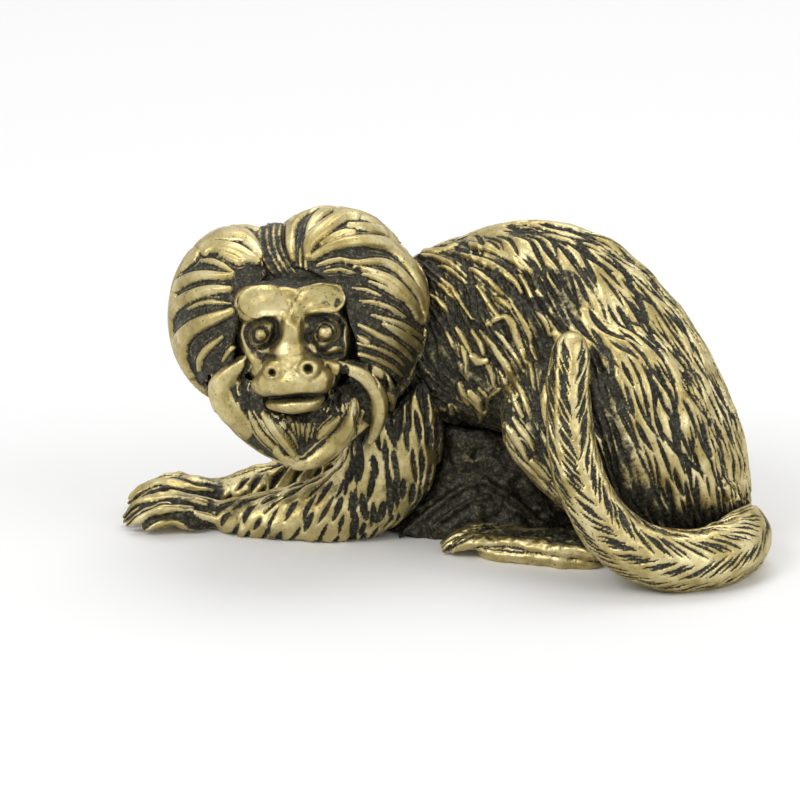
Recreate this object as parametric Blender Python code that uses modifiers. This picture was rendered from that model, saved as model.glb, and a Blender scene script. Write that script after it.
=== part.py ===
"""A crouching lion-maned monkey figurine in cast brass, 43 mm long and 23 mm high.

The figure is an assembly of separate castings brazed along narrow seams: a torso with two
haunches and a web under the belly, two arms with hands, two feet, a tail that curls forward
along the left side, and a head with two lobes of mane and a chin ruff.

+X runs towards the rump, -Y towards the side that the face looks to, and +Z is up. The origin
is on the standing plane, under the middle of the figure. Left and right are the animal's own.
"""

import math

import bmesh
import bpy
from mathutils import Matrix, Vector

MM = 0.001  # the sizes below are in millimetres, and the meshes are in metres

SEAM = 0.3  # brazed gap between two neighbouring castings

# Main sizes of the figure
CHEST_X = -6.4
TORSO_LENGTH = 27.2  # from the chest to the rump
BACK_HEIGHT = 21.5
HAUNCH_OUT = 3.8  # from the torso's middle to the middle of a haunch, where it is widest
HEAD_HEIGHT = 14.0  # of the skull's centre
ELBOW_X = -3.2
RUMP_X = CHEST_X + TORSO_LENGTH

# Torso: (share of its length, middle y, underside z, share of the back's height, half width)
TORSO_SECTIONS = (
    (0.0, 6.0, 8.6, 0.62, 2.4),
    (0.08, 5.6, 6.6, 0.78, 4.4),
    (0.2, 4.9, 6.3, 0.87, 5.4),
    (0.34, 4.0, 7.0, 0.95, 6.0),
    (0.485, 3.0, 5.6, 1.0, 6.2),
    (0.64, 1.8, 2.4, 0.96, 6.2),
    (0.795, 0.9, -0.8, 0.795, 6.0),
    (0.925, 0.4, -1.2, 0.53, 5.2),
    (1.0, 0.2, -1.2, 0.26, 3.6),
)

# Haunch: (distance ahead of the rump, out beyond HAUNCH_OUT, underside z, top z, half width)
HAUNCH_SECTIONS = (
    (17.0, 3.5, 7.8, 11.4, 1.6),
    (15.4, 2.7, 5.8, 13.2, 3.2),
    (12.2, 1.5, 2.6, 15.4, 4.8),
    (8.4, 0.0, -0.8, 16.6, 5.7),
    (4.6, -1.3, -1.2, 14.0, 5.4),
    (1.8, -2.4, -1.2, 9.0, 4.2),
    (0.4, -3.2, -1.2, 4.6, 2.6),
)

# Web that closes the casting under the belly, from the elbows to a line inside the haunches:
# (z, how far it runs on at each end, middle y, half width)
WEB_REAR_AHEAD = 12.4
WEB_SECTIONS = (
    (-0.8, 2.2, 3.0, 4.5),
    (1.2, 1.6, 3.2, 3.6),
    (4.0, 0.6, 3.6, 2.5),
    (7.0, 0.4, 3.8, 2.8),
    (9.0, 0.6, 4.0, 3.4),
)

# Arms: (point, half width along Y, half height) from the shoulder over the elbow to the wrist
LEFT_WRIST = (-15.2, 2.4, 0.7)
LEFT_ARM = (
    ((-1.8, 3.0, 14.0), 2.6, 2.6),
    ((-2.4, 1.7, 11.0), 3.0, 3.2),
    ((-2.9, 1.0, 7.6), 2.9, 3.3),
    ((ELBOW_X, 0.8, 4.2), 2.8, 3.3),
    ((-5.8, 1.2, 1.7), 2.8, 2.8),
    ((-9.2, 1.6, 0.9), 2.6, 2.2),
    ((-12.2, 2.0, 0.6), 2.2, 1.7),
    (LEFT_WRIST, 1.7, 1.2),
)
RIGHT_WRIST = (-15.1, 6.4, 0.9)
RIGHT_ARM = (
    ((-1.9, 7.4, 13.8), 2.4, 2.6),
    ((-2.4, 8.0, 11.0), 2.7, 3.1),
    ((-2.9, 8.3, 7.4), 2.6, 3.2),
    ((ELBOW_X, 8.2, 4.0), 2.5, 3.0),
    ((-5.9, 7.9, 2.1), 2.4, 2.6),
    ((-9.4, 7.4, 1.4), 2.1, 2.0),
    ((-12.4, 6.8, 1.1), 1.8, 1.6),
    (RIGHT_WRIST, 1.5, 1.3),
)

# Hands: from the wrist to the finger tips, with the knuckles arched off the ground
HAND_REACH = 6.7
HAND_WIDTH = 3.3
HAND_HEIGHT = 2.3
PALM_LENGTH = 4.3
FINGER_COUNT = 4
FINGER_RADIUS = 0.44
FINGER_ARCH = 0.95
THUMB_RADIUS = 0.5
THUMB_ARCH = 0.45

# Feet: the heel and the toes of each, as (distance ahead of the rump, out beyond HAUNCH_OUT, z)
LEFT_HEEL = (9.8, 3.5, 0.9)
LEFT_TOES = (19.3, 2.9, 0.5)
RIGHT_HEEL = (9.4, 2.6, 0.9)
RIGHT_TOES = (17.8, 1.6, 0.5)
FOOT_HALF_WIDTH = 1.7
FOOT_HEIGHT = 2.2
SOLE_PROFILE = (  # share of the way from heel to toes, share of the width, share of the height
    (0.0, 0.55, 0.6),
    (0.12, 0.9, 0.95),
    (0.45, 0.95, 1.0),
    (0.72, 1.0, 0.9),
    (0.9, 0.7, 0.6),
)
TOE_COUNT = 4
TOE_LENGTH = 4.0
TOE_RADIUS = 0.46
TOE_ARCH = 0.75

# Tail: ((distance ahead of the rump, out beyond HAUNCH_OUT, z), radius) on the left side, from
# its root in the rump to its rounded tip on the haunch
TAIL = (
    ((3.2, -3.8, 3.0), 1.9),
    ((1.5, -1.05, 2.2), 2.0),
    ((1.0, 2.3, 1.9), 2.1),
    ((2.8, 5.9, 1.9), 2.1),
    ((6.4, 7.65, 1.9), 2.05),
    ((9.6, 7.95, 3.2), 1.95),
    ((11.8, 8.0, 6.4), 1.75),
    ((12.7, 7.1, 10.2), 1.6),
    ((12.6, 5.7, 13.6), 1.5),
    ((12.5, 5.0, 15.0), 1.25),
)

# Head: the skull, with what is set round it placed from its centre
HEAD_CENTRE = (-9.4, 1.2, HEAD_HEIGHT)
HEAD_RADII = (6.0, 6.2, 6.4)

# Mane: the left lobe, the right lobe and the nape, and the parting plane across X
LEFT_LOBE_OFFSET = (2.6, 0.2, 1.15)
LEFT_LOBE_RADII = (6.4, 7.2, 7.45)
RIGHT_LOBE_OFFSET = (-3.8, 0.2, 1.1)
RIGHT_LOBE_RADII = (4.9, 6.8, 6.1)
NAPE_OFFSET = (0.8, 3.2, 0.2)
NAPE_RADII = (6.8, 5.2, 6.5)
PARTING_OFFSET = -1.3

# Locks of the mane: the way from each lobe's middle to where they start at the parting, how many
# go round the lobe, and how deep the valleys between them are
LEFT_LOCKS_START = (-0.7, -0.2, 0.7)
RIGHT_LOCKS_START = (0.6, -0.25, 0.75)
LEFT_LOCK_COUNT = 14
RIGHT_LOCK_COUNT = 12
LOCK_DEPTH = 0.55

# Tufts of the coat: rows along the back and flanks, and how deep the partings between them are
TUFT_ROWS = 16
TUFT_DEPTH = 0.25

# Face: where it is centred on the skull, and how it is held
FACE_OFFSET = (0.0, -5.8, 0.85)
FACE_TURN = 5.0  # degrees from -Y towards -X, the way the face looks
FACE_LIFT = 5.0  # degrees upwards
FACE_LEAN = 4.0  # degrees, the forehead towards -X
FACE_HALF_WIDTH = 3.7
FACE_HALF_HEIGHT = 4.4

# Opening in the mane round the face: how far it is cut in, and how much further down it runs
WINDOW_DEPTH = 11.0
WINDOW_OUT = 3.0
WINDOW_DROP = 1.2

# Ruff under the chin: (z, x, y, half width, half depth) downwards to its point
RUFF_SECTIONS = (
    (-0.2, 0.1, -2.8, 4.6, 2.6),
    (-1.6, 0.3, -3.6, 5.9, 3.6),
    (-3.2, 0.4, -3.8, 6.0, 3.8),
    (-4.6, 0.2, -3.7, 5.4, 3.4),
    (-5.8, 0.0, -3.7, 4.3, 2.8),
    (-7.0, 0.1, -3.9, 2.8, 2.1),
    (-8.0, 0.3, -4.1, 1.3, 1.3),
)

MIDDLE = (0.12, 0.32, 0.0)  # the point of the drawing that stands at the origin

FIGURE = "maned_monkey_figurine"
CUTTERS = "cutters"
BRASS_COLOUR = (0.58, 0.42, 0.16, 1.0)
BRASS_ROUGHNESS = 0.34

X_AXIS = Vector((1.0, 0.0, 0.0))
Y_AXIS = Vector((0.0, 1.0, 0.0))
Z_AXIS = Vector((0.0, 0.0, 1.0))


def clear_scene():
    for obj in list(bpy.data.objects):
        bpy.data.objects.remove(obj, do_unlink=True)


def add_collection(name):
    collection = bpy.data.collections.new(name)
    bpy.context.scene.collection.children.link(collection)


def brass(name):
    """Cast brass, dulled by age: one material for each casting."""
    material = bpy.data.materials.new(name)
    material.use_nodes = True
    shader = material.node_tree.nodes["Principled BSDF"]
    shader.inputs["Base Color"].default_value = BRASS_COLOUR
    shader.inputs["Metallic"].default_value = 1.0
    shader.inputs["Roughness"].default_value = BRASS_ROUGHNESS
    return material


def add_object(name, bm, collection_name):
    """Turns a bmesh in millimetres into an object in metres, placed at its own centre."""
    centre = sum((v.co for v in bm.verts), Vector()) / len(bm.verts)
    bmesh.ops.translate(bm, verts=bm.verts, vec=-centre)
    bmesh.ops.scale(bm, verts=bm.verts, vec=(MM, MM, MM))
    bmesh.ops.recalc_face_normals(bm, faces=bm.faces)
    mesh = bpy.data.meshes.new(name)
    bm.to_mesh(mesh)
    bm.free()
    mesh.shade_smooth()
    obj = bpy.data.objects.new(name, mesh)
    obj.location = (centre - Vector(MIDDLE)) * MM
    bpy.data.collections[collection_name].objects.link(obj)
    return obj


def casting(name, bm):
    """A visible piece of the figure."""
    obj = add_object(name, bm, FIGURE)
    obj.data.materials.append(brass(name + "_brass"))
    return obj


def helper(name, bm):
    """A cutter or a piece that another one takes in by a Boolean union."""
    obj = add_object(name, bm, CUTTERS)
    obj.hide_render = True
    obj.display_type = "WIRE"
    return obj


# Shapes


def ring_points(centre, normal, half_side, half_up, sides):
    """An ellipse of points across a limb. Its limit curve under subdivision has the half sizes given."""
    normal = normal.normalized()
    side = (Y_AXIS - normal * Y_AXIS.dot(normal)).normalized()
    up = normal.cross(side)
    shrink = (4 + 2 * math.cos(math.tau / sides)) / 6
    points = []
    for i in range(sides):
        angle = math.tau * i / sides
        offset = side * (half_side * math.cos(angle)) + up * (half_up * math.sin(angle))
        points.append(Vector(centre) + offset / shrink)
    return points


def add_loft(bm, rings):
    """A closed skin over rings with as many points each."""
    rows = [[bm.verts.new(point) for point in ring] for ring in rings]
    sides = len(rows[0])
    for row, following in zip(rows, rows[1:]):
        for i in range(sides):
            j = (i + 1) % sides
            bm.faces.new((row[i], row[j], following[j], following[i]))
    bm.faces.new(list(reversed(rows[0])))
    bm.faces.new(rows[-1])


def along_x(sections, sides=8):
    """Rings for a form cut across X: (x, middle y, low z, high z, half width)."""
    return [
        ring_points((x, y, (low + high) / 2), X_AXIS, half_width, (high - low) / 2, sides)
        for x, y, low, high, half_width in sections
    ]


def along_z(sections, sides=8):
    """Rings for a form cut across Z: (z, x, y, half size along X, half size along Y)."""
    return [
        ring_points((x, y, z), Z_AXIS, half_y, half_x, sides)
        for z, x, y, half_x, half_y in sections
    ]


def along_path(stations, sides=8):
    """Rings square to a limb's own path: (point, half width, half height)."""
    points = [Vector(station[0]) for station in stations]
    rings = []
    for i, (point, half_side, half_up) in enumerate(stations):
        before = points[max(i - 1, 0)]
        after = points[min(i + 1, len(points) - 1)]
        rings.append(ring_points(point, after - before, half_side, half_up, sides))
    return rings


def subdivide(obj, levels):
    modifier = obj.modifiers.new("rounding", "SUBSURF")
    modifier.levels = levels
    modifier.render_levels = levels


def add_ellipsoid(bm, centre, radii, turn=None, segments=20, rings=12):
    """A ball stretched to the radii, turned by a 3x3 matrix and moved to its centre."""
    placed = Matrix.Translation(Vector(centre))
    if turn is not None:
        placed = placed @ turn.to_4x4()
    placed = placed @ Matrix.Diagonal((*radii, 1.0))
    bmesh.ops.create_uvsphere(bm, u_segments=segments, v_segments=rings, radius=1.0, matrix=placed)


# Joining and cutting


def boolean(obj, other, operation, overlapping=False):
    """Joins or cuts with one closed mesh, or with several that overlap each other."""
    modifier = obj.modifiers.new(operation.lower() + "_" + other.name, "BOOLEAN")
    modifier.operation = operation
    modifier.object = other
    modifier.use_self = overlapping


def grown(obj):
    """A wire copy of a casting, larger by the seam all round, that cuts its neighbours."""
    name = obj.name + "_grown"
    if name in bpy.data.objects:
        return bpy.data.objects[name]
    bpy.context.view_layer.update()
    graph = bpy.context.evaluated_depsgraph_get()
    mesh = bpy.data.meshes.new_from_object(obj.evaluated_get(graph))
    copy = bpy.data.objects.new(name, mesh)
    copy.matrix_world = obj.matrix_world.copy()
    copy.hide_render = True
    copy.display_type = "WIRE"
    bpy.data.collections[CUTTERS].objects.link(copy)
    growth = copy.modifiers.new("seam", "DISPLACE")
    growth.strength = SEAM * MM
    growth.mid_level = 0.0
    return copy


def cut(obj, *larger):
    """Cuts a casting back from the larger ones that it meets, by the width of the seam."""
    for other in larger:
        boolean(obj, grown(other), "DIFFERENCE")


def stand_on_floor(obj):
    """Files the piece flat where it stands."""
    if "floor_block" not in bpy.data.objects:
        bm = bmesh.new()
        bmesh.ops.create_cube(bm, size=1.0)
        bmesh.ops.scale(bm, verts=bm.verts, vec=(80.0, 60.0, 6.0))
        bmesh.ops.translate(bm, verts=bm.verts, vec=(0.0, 0.0, -3.0))
        helper("floor_block", bm)
    boolean(obj, bpy.data.objects["floor_block"], "DIFFERENCE")


# The castings


def torso_x(share):
    return CHEST_X + share * TORSO_LENGTH


def spine_y(x):
    """The torso's middle line seen from above."""
    stations = [(torso_x(section[0]), section[1]) for section in TORSO_SECTIONS]
    for (x0, y0), (x1, y1) in zip(stations, stations[1:]):
        if x <= x1:
            return y0 + (y1 - y0) * (x - x0) / (x1 - x0)
    return stations[-1][1]


def beside_rump(side, ahead, beyond, z):
    """A point on one side of the hind part: side is -1 on the left and 1 on the right."""
    x = RUMP_X - ahead
    return Vector((x, spine_y(x) + side * (HAUNCH_OUT + beyond), z))


def make_torso():
    sections = [
        (torso_x(share), y, low, back * BACK_HEIGHT, half)
        for share, y, low, back, half in TORSO_SECTIONS
    ]
    bm = bmesh.new()
    add_loft(bm, along_x(sections, sides=TUFT_ROWS))
    obj = casting("torso", bm)
    subdivide(obj, 1)
    grown(obj)
    return obj


def torso_section(x):
    """The torso's middle y, middle z, half width and half height at x."""
    share = (x - CHEST_X) / TORSO_LENGTH
    before = after = TORSO_SECTIONS[0]
    for following in TORSO_SECTIONS[1:]:
        before, after = after, following
        if share <= after[0]:
            break
    part = min(max((share - before[0]) / (after[0] - before[0]), 0.0), 1.0)
    y, low, back, half = (a + (b - a) * part for a, b in zip(before[1:], after[1:]))
    high = back * BACK_HEIGHT
    return y, (low + high) / 2, half, (high - low) / 2


def press_in_tufts(obj):
    """Presses the lines between two rows of tufts into the torso's own skin."""
    bpy.context.view_layer.update()
    graph = bpy.context.evaluated_depsgraph_get()
    bm = bmesh.new()
    bm.from_object(obj, graph)
    middle = obj.location / MM + Vector(MIDDLE)
    bm.normal_update()
    pressed = []
    for vert in bm.verts:
        x, y, z = vert.co / MM + middle
        middle_y, middle_z, half_width, half_height = torso_section(x)
        angle = math.atan2((z - middle_z) / half_height, (y - middle_y) / half_width)
        if round(angle * TUFT_ROWS / math.pi) % 2 and abs(vert.normal.x) < 0.8:
            pressed.append((vert, vert.normal * TUFT_DEPTH * MM))
    for vert, push in pressed:
        vert.co -= push
    obj.modifiers.clear()
    bm.to_mesh(obj.data)
    bm.free()
    obj.data.shade_smooth()


def make_haunch(name, side, torso):
    """A hind leg folded against the torso: side is -1 on the left and 1 on the right."""
    sections = []
    for ahead, beyond, low, high, half in HAUNCH_SECTIONS:
        x, y, _ = beside_rump(side, ahead, beyond, 0.0)
        sections.append((x, y, low, high, half))
    bm = bmesh.new()
    add_loft(bm, along_x(sections, sides=10))
    obj = casting(name, bm)
    subdivide(obj, 1)
    grown(obj)
    cut(obj, torso)
    return obj


def make_web():
    front, rear = ELBOW_X, RUMP_X - WEB_REAR_AHEAD
    sections = [
        (z, (front + rear) / 2, y, (rear - front) / 2 + extra, half)
        for z, extra, y, half in WEB_SECTIONS
    ]
    bm = bmesh.new()
    add_loft(bm, along_z(sections, sides=10))
    obj = casting("belly_web", bm)
    subdivide(obj, 1)
    return obj


def make_arm(name, stations):
    bm = bmesh.new()
    add_loft(bm, along_path(stations, sides=10))
    obj = casting(name, bm)
    subdivide(obj, 1)
    return obj


def finger_rings(root, tip, arch, radius):
    """A finger that arches up from its root over the knuckle and thins down to its tip."""
    root = Vector(root)
    tip = Vector(tip)
    steps = 6
    stations = []
    for i in range(steps + 1):
        share = i / steps
        point = root.lerp(tip, share)
        point.z += arch * math.sin(math.pi * share)
        thick = radius * (1.0 - 0.35 * share * share)
        if i in (0, steps):
            thick *= 0.6
        stations.append((point, thick, thick))
    return along_path(stations, sides=6)


def make_hand(name, wrist, thumb_side):
    """A palm with arched fingers side by side, and a short thumb on one edge."""
    wrist_x, middle_y, _ = wrist
    palm = Vector((wrist_x - 0.4 * PALM_LENGTH, middle_y, HAND_HEIGHT / 2))
    bm = bmesh.new()
    add_ellipsoid(bm, palm, (0.6 * PALM_LENGTH, HAND_WIDTH / 2, HAND_HEIGHT / 2), None, 16, 10)
    hand = casting(name, bm)
    bm = bmesh.new()
    pitch = (HAND_WIDTH - 2 * FINGER_RADIUS) / (FINGER_COUNT - 1)
    for i in range(FINGER_COUNT):
        rank = i - (FINGER_COUNT - 1) / 2
        across = middle_y + rank * pitch
        tip_x = wrist_x - HAND_REACH + FINGER_RADIUS + 0.3 * abs(rank)
        root = (palm.x + 0.1 * PALM_LENGTH, across, palm.z)
        add_loft(bm, finger_rings(root, (tip_x, across, FINGER_RADIUS), FINGER_ARCH, FINGER_RADIUS))
    edge = middle_y + thumb_side * HAND_WIDTH / 2
    root = (palm.x + 0.3 * PALM_LENGTH, edge - 0.3 * thumb_side, THUMB_RADIUS)
    tip = (palm.x - 0.7 * PALM_LENGTH, edge + 0.1 * thumb_side, THUMB_RADIUS)
    add_loft(bm, finger_rings(root, tip, THUMB_ARCH, THUMB_RADIUS))
    fingers = helper(name + "_fingers", bm)
    boolean(hand, fingers, "UNION", overlapping=True)
    return hand


def make_foot(name, side, heel, toes):
    """A sole from the heel to the toes, with toes side by side: side as for the haunch."""
    heel = beside_rump(side, *heel)
    toes = beside_rump(side, *toes)
    stations = []
    for share, width, height in SOLE_PROFILE:
        point = heel.lerp(toes, share)
        stations.append((point, FOOT_HALF_WIDTH * width, FOOT_HEIGHT * 0.62 * height))
    bm = bmesh.new()
    add_loft(bm, along_path(stations, sides=8))
    foot = casting(name, bm)
    subdivide(foot, 1)
    forward = (toes - heel).normalized()
    sideways = Z_AXIS.cross(forward).normalized()
    pitch = 2 * (FOOT_HALF_WIDTH - TOE_RADIUS) / (TOE_COUNT - 1)
    bm = bmesh.new()
    for i in range(TOE_COUNT):
        rank = i - (TOE_COUNT - 1) / 2
        tip = toes + forward * (1.4 - 0.25 * abs(rank)) + sideways * rank * pitch
        tip.z = 0.7 * TOE_RADIUS
        root = tip - forward * TOE_LENGTH
        root.z = toes.z
        add_loft(bm, finger_rings(root, tip, TOE_ARCH, TOE_RADIUS))
    toe_set = helper(name + "_toes", bm)
    boolean(foot, toe_set, "UNION", overlapping=True)
    return foot


def make_tail():
    """A tube of changing radius on one smooth curve, with a rounded tip."""
    curve = bpy.data.curves.new("tail_path", "CURVE")
    curve.dimensions = "3D"
    curve.bevel_depth = MM
    curve.bevel_resolution = 3
    curve.resolution_u = 3
    curve.use_fill_caps = True
    spline = curve.splines.new("NURBS")
    stations = [(beside_rump(-1, *place), radius) for place, radius in TAIL]
    tip, tip_radius = stations[-1]
    onward = (tip - stations[-2][0]).normalized()
    for further, thinner in ((0.45, 0.85), (0.8, 0.55), (1.0, 0.2)):
        stations.append((tip + onward * tip_radius * further, tip_radius * thinner))
    spline.points.add(len(stations) - 1)
    for point, (place, radius) in zip(spline.points, stations):
        point.co = (*(place * MM), 1.0)
        point.radius = radius
    spline.order_u = 3
    spline.use_endpoint_u = True
    guide = bpy.data.objects.new("tail_path", curve)
    bpy.data.collections[CUTTERS].objects.link(guide)
    bpy.context.view_layer.update()
    graph = bpy.context.evaluated_depsgraph_get()
    mesh = bpy.data.meshes.new_from_object(guide.evaluated_get(graph))
    bpy.data.objects.remove(guide)
    bm = bmesh.new()
    bm.from_mesh(mesh)
    bmesh.ops.remove_doubles(bm, verts=bm.verts, dist=0.00001)
    bmesh.ops.scale(bm, verts=bm.verts, vec=(1 / MM, 1 / MM, 1 / MM))
    return casting("tail", bm)


def face_turn():
    """Columns: the animal's left cheek, the way the face looks, and its crown."""
    turn = Matrix.Rotation(math.radians(-FACE_TURN), 3, "Z")
    lift = Matrix.Rotation(math.radians(-FACE_LIFT), 3, "X")
    lean = Matrix.Rotation(math.radians(-FACE_LEAN), 3, "Y")
    looks = Matrix(((1, 0, 0), (0, -1, 0), (0, 0, 1))).transposed()
    return turn @ lift @ lean @ looks


def from_skull(offset):
    return Vector(HEAD_CENTRE) + Vector(offset)


def face_point(right, out, up):
    """A point of the face, from its centre: across, outwards and upwards, in millimetres."""
    return from_skull(FACE_OFFSET) + face_turn() @ Vector((right, out, up))


def make_lobe(name, offset, radii, keep_side, start, locks):
    """Half of the mane: a ball of locks like the parts of an orange, cut off at the parting."""
    pole = Vector(start).to_track_quat("Z", "Y").to_matrix().to_4x4()
    placed = Matrix.Translation(from_skull(offset)) @ Matrix.Diagonal((*radii, 1.0)) @ pole
    bm = bmesh.new()
    bmesh.ops.create_uvsphere(
        bm, u_segments=2 * locks, v_segments=14, radius=1.0, matrix=placed
    )
    normal = X_AXIS * keep_side
    plane = from_skull((PARTING_OFFSET + keep_side * SEAM / 2, 0.0, 0.0))
    cut_result = bmesh.ops.bisect_plane(
        bm,
        geom=bm.verts[:] + bm.edges[:] + bm.faces[:],
        plane_co=plane,
        plane_no=-normal,
        clear_outer=True,
    )
    rim = [item for item in cut_result["geom_cut"] if isinstance(item, bmesh.types.BMEdge)]
    bmesh.ops.holes_fill(bm, edges=rim)
    lobe = casting(name, bm)
    grown(lobe)
    upright = placed.inverted()
    for vert in lobe.data.vertices:
        point = vert.co / MM + lobe.location / MM + Vector(MIDDLE)
        on_ball = upright @ point
        column = round(math.atan2(on_ball.y, on_ball.x) * locks / math.pi)
        beside_parting = abs((point - plane).dot(normal))
        if column % 2 and beside_parting > LOCK_DEPTH:
            on_ball *= 1 - LOCK_DEPTH / min(radii) * math.hypot(on_ball.x, on_ball.y)
            vert.co = (placed @ on_ball - Vector(MIDDLE)) * MM - lobe.location
    return lobe


def make_nape():
    """The mane on the back of the head, over the shoulders."""
    bm = bmesh.new()
    add_ellipsoid(bm, from_skull(NAPE_OFFSET), NAPE_RADII, segments=22, rings=12)
    return casting("mane_nape", bm)


def make_face_window():
    """The opening that the two lobes leave for the face, along the way it looks."""
    turn = face_turn()
    bm = bmesh.new()
    placed = Matrix.Translation(face_point(0, WINDOW_OUT, -WINDOW_DROP)) @ turn.to_4x4()
    placed = placed @ Matrix.Rotation(math.radians(90), 4, "X")
    taller = (FACE_HALF_HEIGHT + WINDOW_DROP) / FACE_HALF_WIDTH
    bmesh.ops.create_cone(
        bm,
        cap_ends=True,
        segments=24,
        radius1=FACE_HALF_WIDTH + SEAM,
        radius2=FACE_HALF_WIDTH + SEAM,
        depth=WINDOW_DEPTH,
        matrix=placed @ Matrix.Diagonal((1.0, taller, 1.0, 1.0)),
    )
    return helper("face_window", bm)


# Features of the face: (across, outwards, upwards) and radii, mirrored where across isn't 0
FACE_BUILT_UP = (
    ((0.0, -0.9, -0.1), (FACE_HALF_WIDTH, 2.2, FACE_HALF_HEIGHT)),  # the face itself
    ((1.85, 0.7, 2.95), (1.75, 0.95, 1.15)),  # brow
    ((0.0, 0.9, 0.8), (0.75, 1.0, 2.4)),  # bridge of the nose
    ((0.0, 1.5, -2.0), (2.6, 1.9, 1.4)),  # muzzle
    ((1.1, 2.7, -1.15), (0.8, 0.75, 0.7)),  # nostril wing
    ((0.0, 1.3, -3.45), (1.9, 1.5, 0.8)),  # lower lip
)
FACE_CUT_IN = (
    ((2.1, 1.75, 0.85), (1.2, 1.0, 1.2)),  # eye socket
    ((1.15, 3.4, -1.2), (0.26, 0.4, 0.3)),  # nostril
    ((0.0, 3.3, -3.02), (2.15, 1.5, 0.14)),  # mouth
)
EYE = ((2.1, 0.62, 0.85), (0.72, 0.72, 0.66))


def add_features(bm, features, segments, rings, room=0.0):
    turn = face_turn()
    for (right, out, up), radii in features:
        for side in (1, -1) if right else (1,):
            grown_radii = [radius + room for radius in radii]
            add_ellipsoid(bm, face_point(right * side, out, up), grown_radii, turn, segments, rings)


def make_head_room():
    """The space that the skull and the face keep free of their neighbours."""
    bm = bmesh.new()
    radii = [radius + SEAM for radius in HEAD_RADII]
    add_ellipsoid(bm, HEAD_CENTRE, radii, segments=20, rings=12)
    add_features(bm, FACE_BUILT_UP, 12, 8, room=SEAM)
    return helper("head_room", bm)


def make_head():
    """The skull with the face modelled on its front."""
    bm = bmesh.new()
    add_ellipsoid(bm, HEAD_CENTRE, HEAD_RADII, segments=20, rings=12)
    head = casting("head", bm)
    for name, features, segments, rings, operation in (
        ("face_forms", FACE_BUILT_UP, 12, 8, "UNION"),
        ("face_hollows", FACE_CUT_IN, 10, 6, "DIFFERENCE"),
        ("eyes", (EYE,), 10, 6, "UNION"),
    ):
        bm = bmesh.new()
        add_features(bm, features, segments, rings)
        boolean(head, helper(name, bm), operation, overlapping=True)
    return head


def make_ruff():
    head_x, head_y, head_z = HEAD_CENTRE
    sections = [
        (head_z + z, head_x + x, head_y + y, half_x, half_y)
        for z, x, y, half_x, half_y in reversed(RUFF_SECTIONS)
    ]
    bm = bmesh.new()
    add_loft(bm, along_z(sections, sides=10))
    obj = casting("chin_ruff", bm)
    subdivide(obj, 1)
    return obj


def main():
    clear_scene()
    add_collection(FIGURE)
    add_collection(CUTTERS)

    torso = make_torso()
    left_haunch = make_haunch("left_haunch", -1, torso)
    right_haunch = make_haunch("right_haunch", 1, torso)
    head = make_head()
    ruff = make_ruff()
    left_lobe = make_lobe(
        "mane_left_lobe", LEFT_LOBE_OFFSET, LEFT_LOBE_RADII, 1, LEFT_LOCKS_START, LEFT_LOCK_COUNT
    )
    right_lobe = make_lobe(
        "mane_right_lobe",
        RIGHT_LOBE_OFFSET,
        RIGHT_LOBE_RADII,
        -1,
        RIGHT_LOCKS_START,
        RIGHT_LOCK_COUNT,
    )
    nape = make_nape()
    left_arm = make_arm("left_arm", LEFT_ARM)
    right_arm = make_arm("right_arm", RIGHT_ARM)
    web = make_web()
    tail = make_tail()
    left_foot = make_foot("left_foot", -1, LEFT_HEEL, LEFT_TOES)
    right_foot = make_foot("right_foot", 1, RIGHT_HEEL, RIGHT_TOES)
    left_hand = make_hand("left_hand", LEFT_WRIST, -1)
    right_hand = make_hand("right_hand", RIGHT_WRIST, 1)
    window = make_face_window()
    head_room = make_head_room()

    for piece in (ruff, left_lobe, right_lobe, nape, left_arm, right_arm, web, tail):
        grown(piece)

    press_in_tufts(torso)
    cut(head, torso)
    for piece in (ruff, left_lobe, right_lobe, nape, left_arm, right_arm):
        boolean(piece, head_room, "DIFFERENCE", overlapping=True)
    cut(ruff, torso)
    for lobe in (left_lobe, right_lobe):
        boolean(lobe, window, "DIFFERENCE")
        cut(lobe, torso, ruff)
    cut(nape, torso, left_lobe, right_lobe, ruff)
    for arm in (left_arm, right_arm):
        cut(arm, torso, ruff, left_lobe, right_lobe, nape)
    cut(web, torso, left_haunch, right_haunch, left_arm, right_arm)
    cut(tail, torso, left_haunch)
    cut(left_foot, left_haunch, torso, web, tail)
    cut(right_foot, right_haunch, torso, web)
    cut(left_hand, left_arm)
    cut(right_hand, right_arm)
    standing = (torso, left_haunch, right_haunch, left_arm, right_arm, web, tail)
    for piece in standing + (left_foot, right_foot, left_hand, right_hand):
        stand_on_floor(piece)


main()
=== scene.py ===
# %% [markdown]
# # A maned monkey in antiqued cast brass
# The photograph shows a brass figurine, 43 mm long. Such figures are modelled in wax, cast, dipped
# in a dark patina and rubbed, so that high places shine and the grooves of the fur stay black.
# This lesson loads the CAD solids as a frame and dresses each of them in sculpted fur.

# %% Load the frame
import math

import bmesh
import bpy
import numpy as np
from mathutils import Matrix, Vector
from mathutils.bvhtree import BVHTree
from mathutils.kdtree import KDTree


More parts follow.
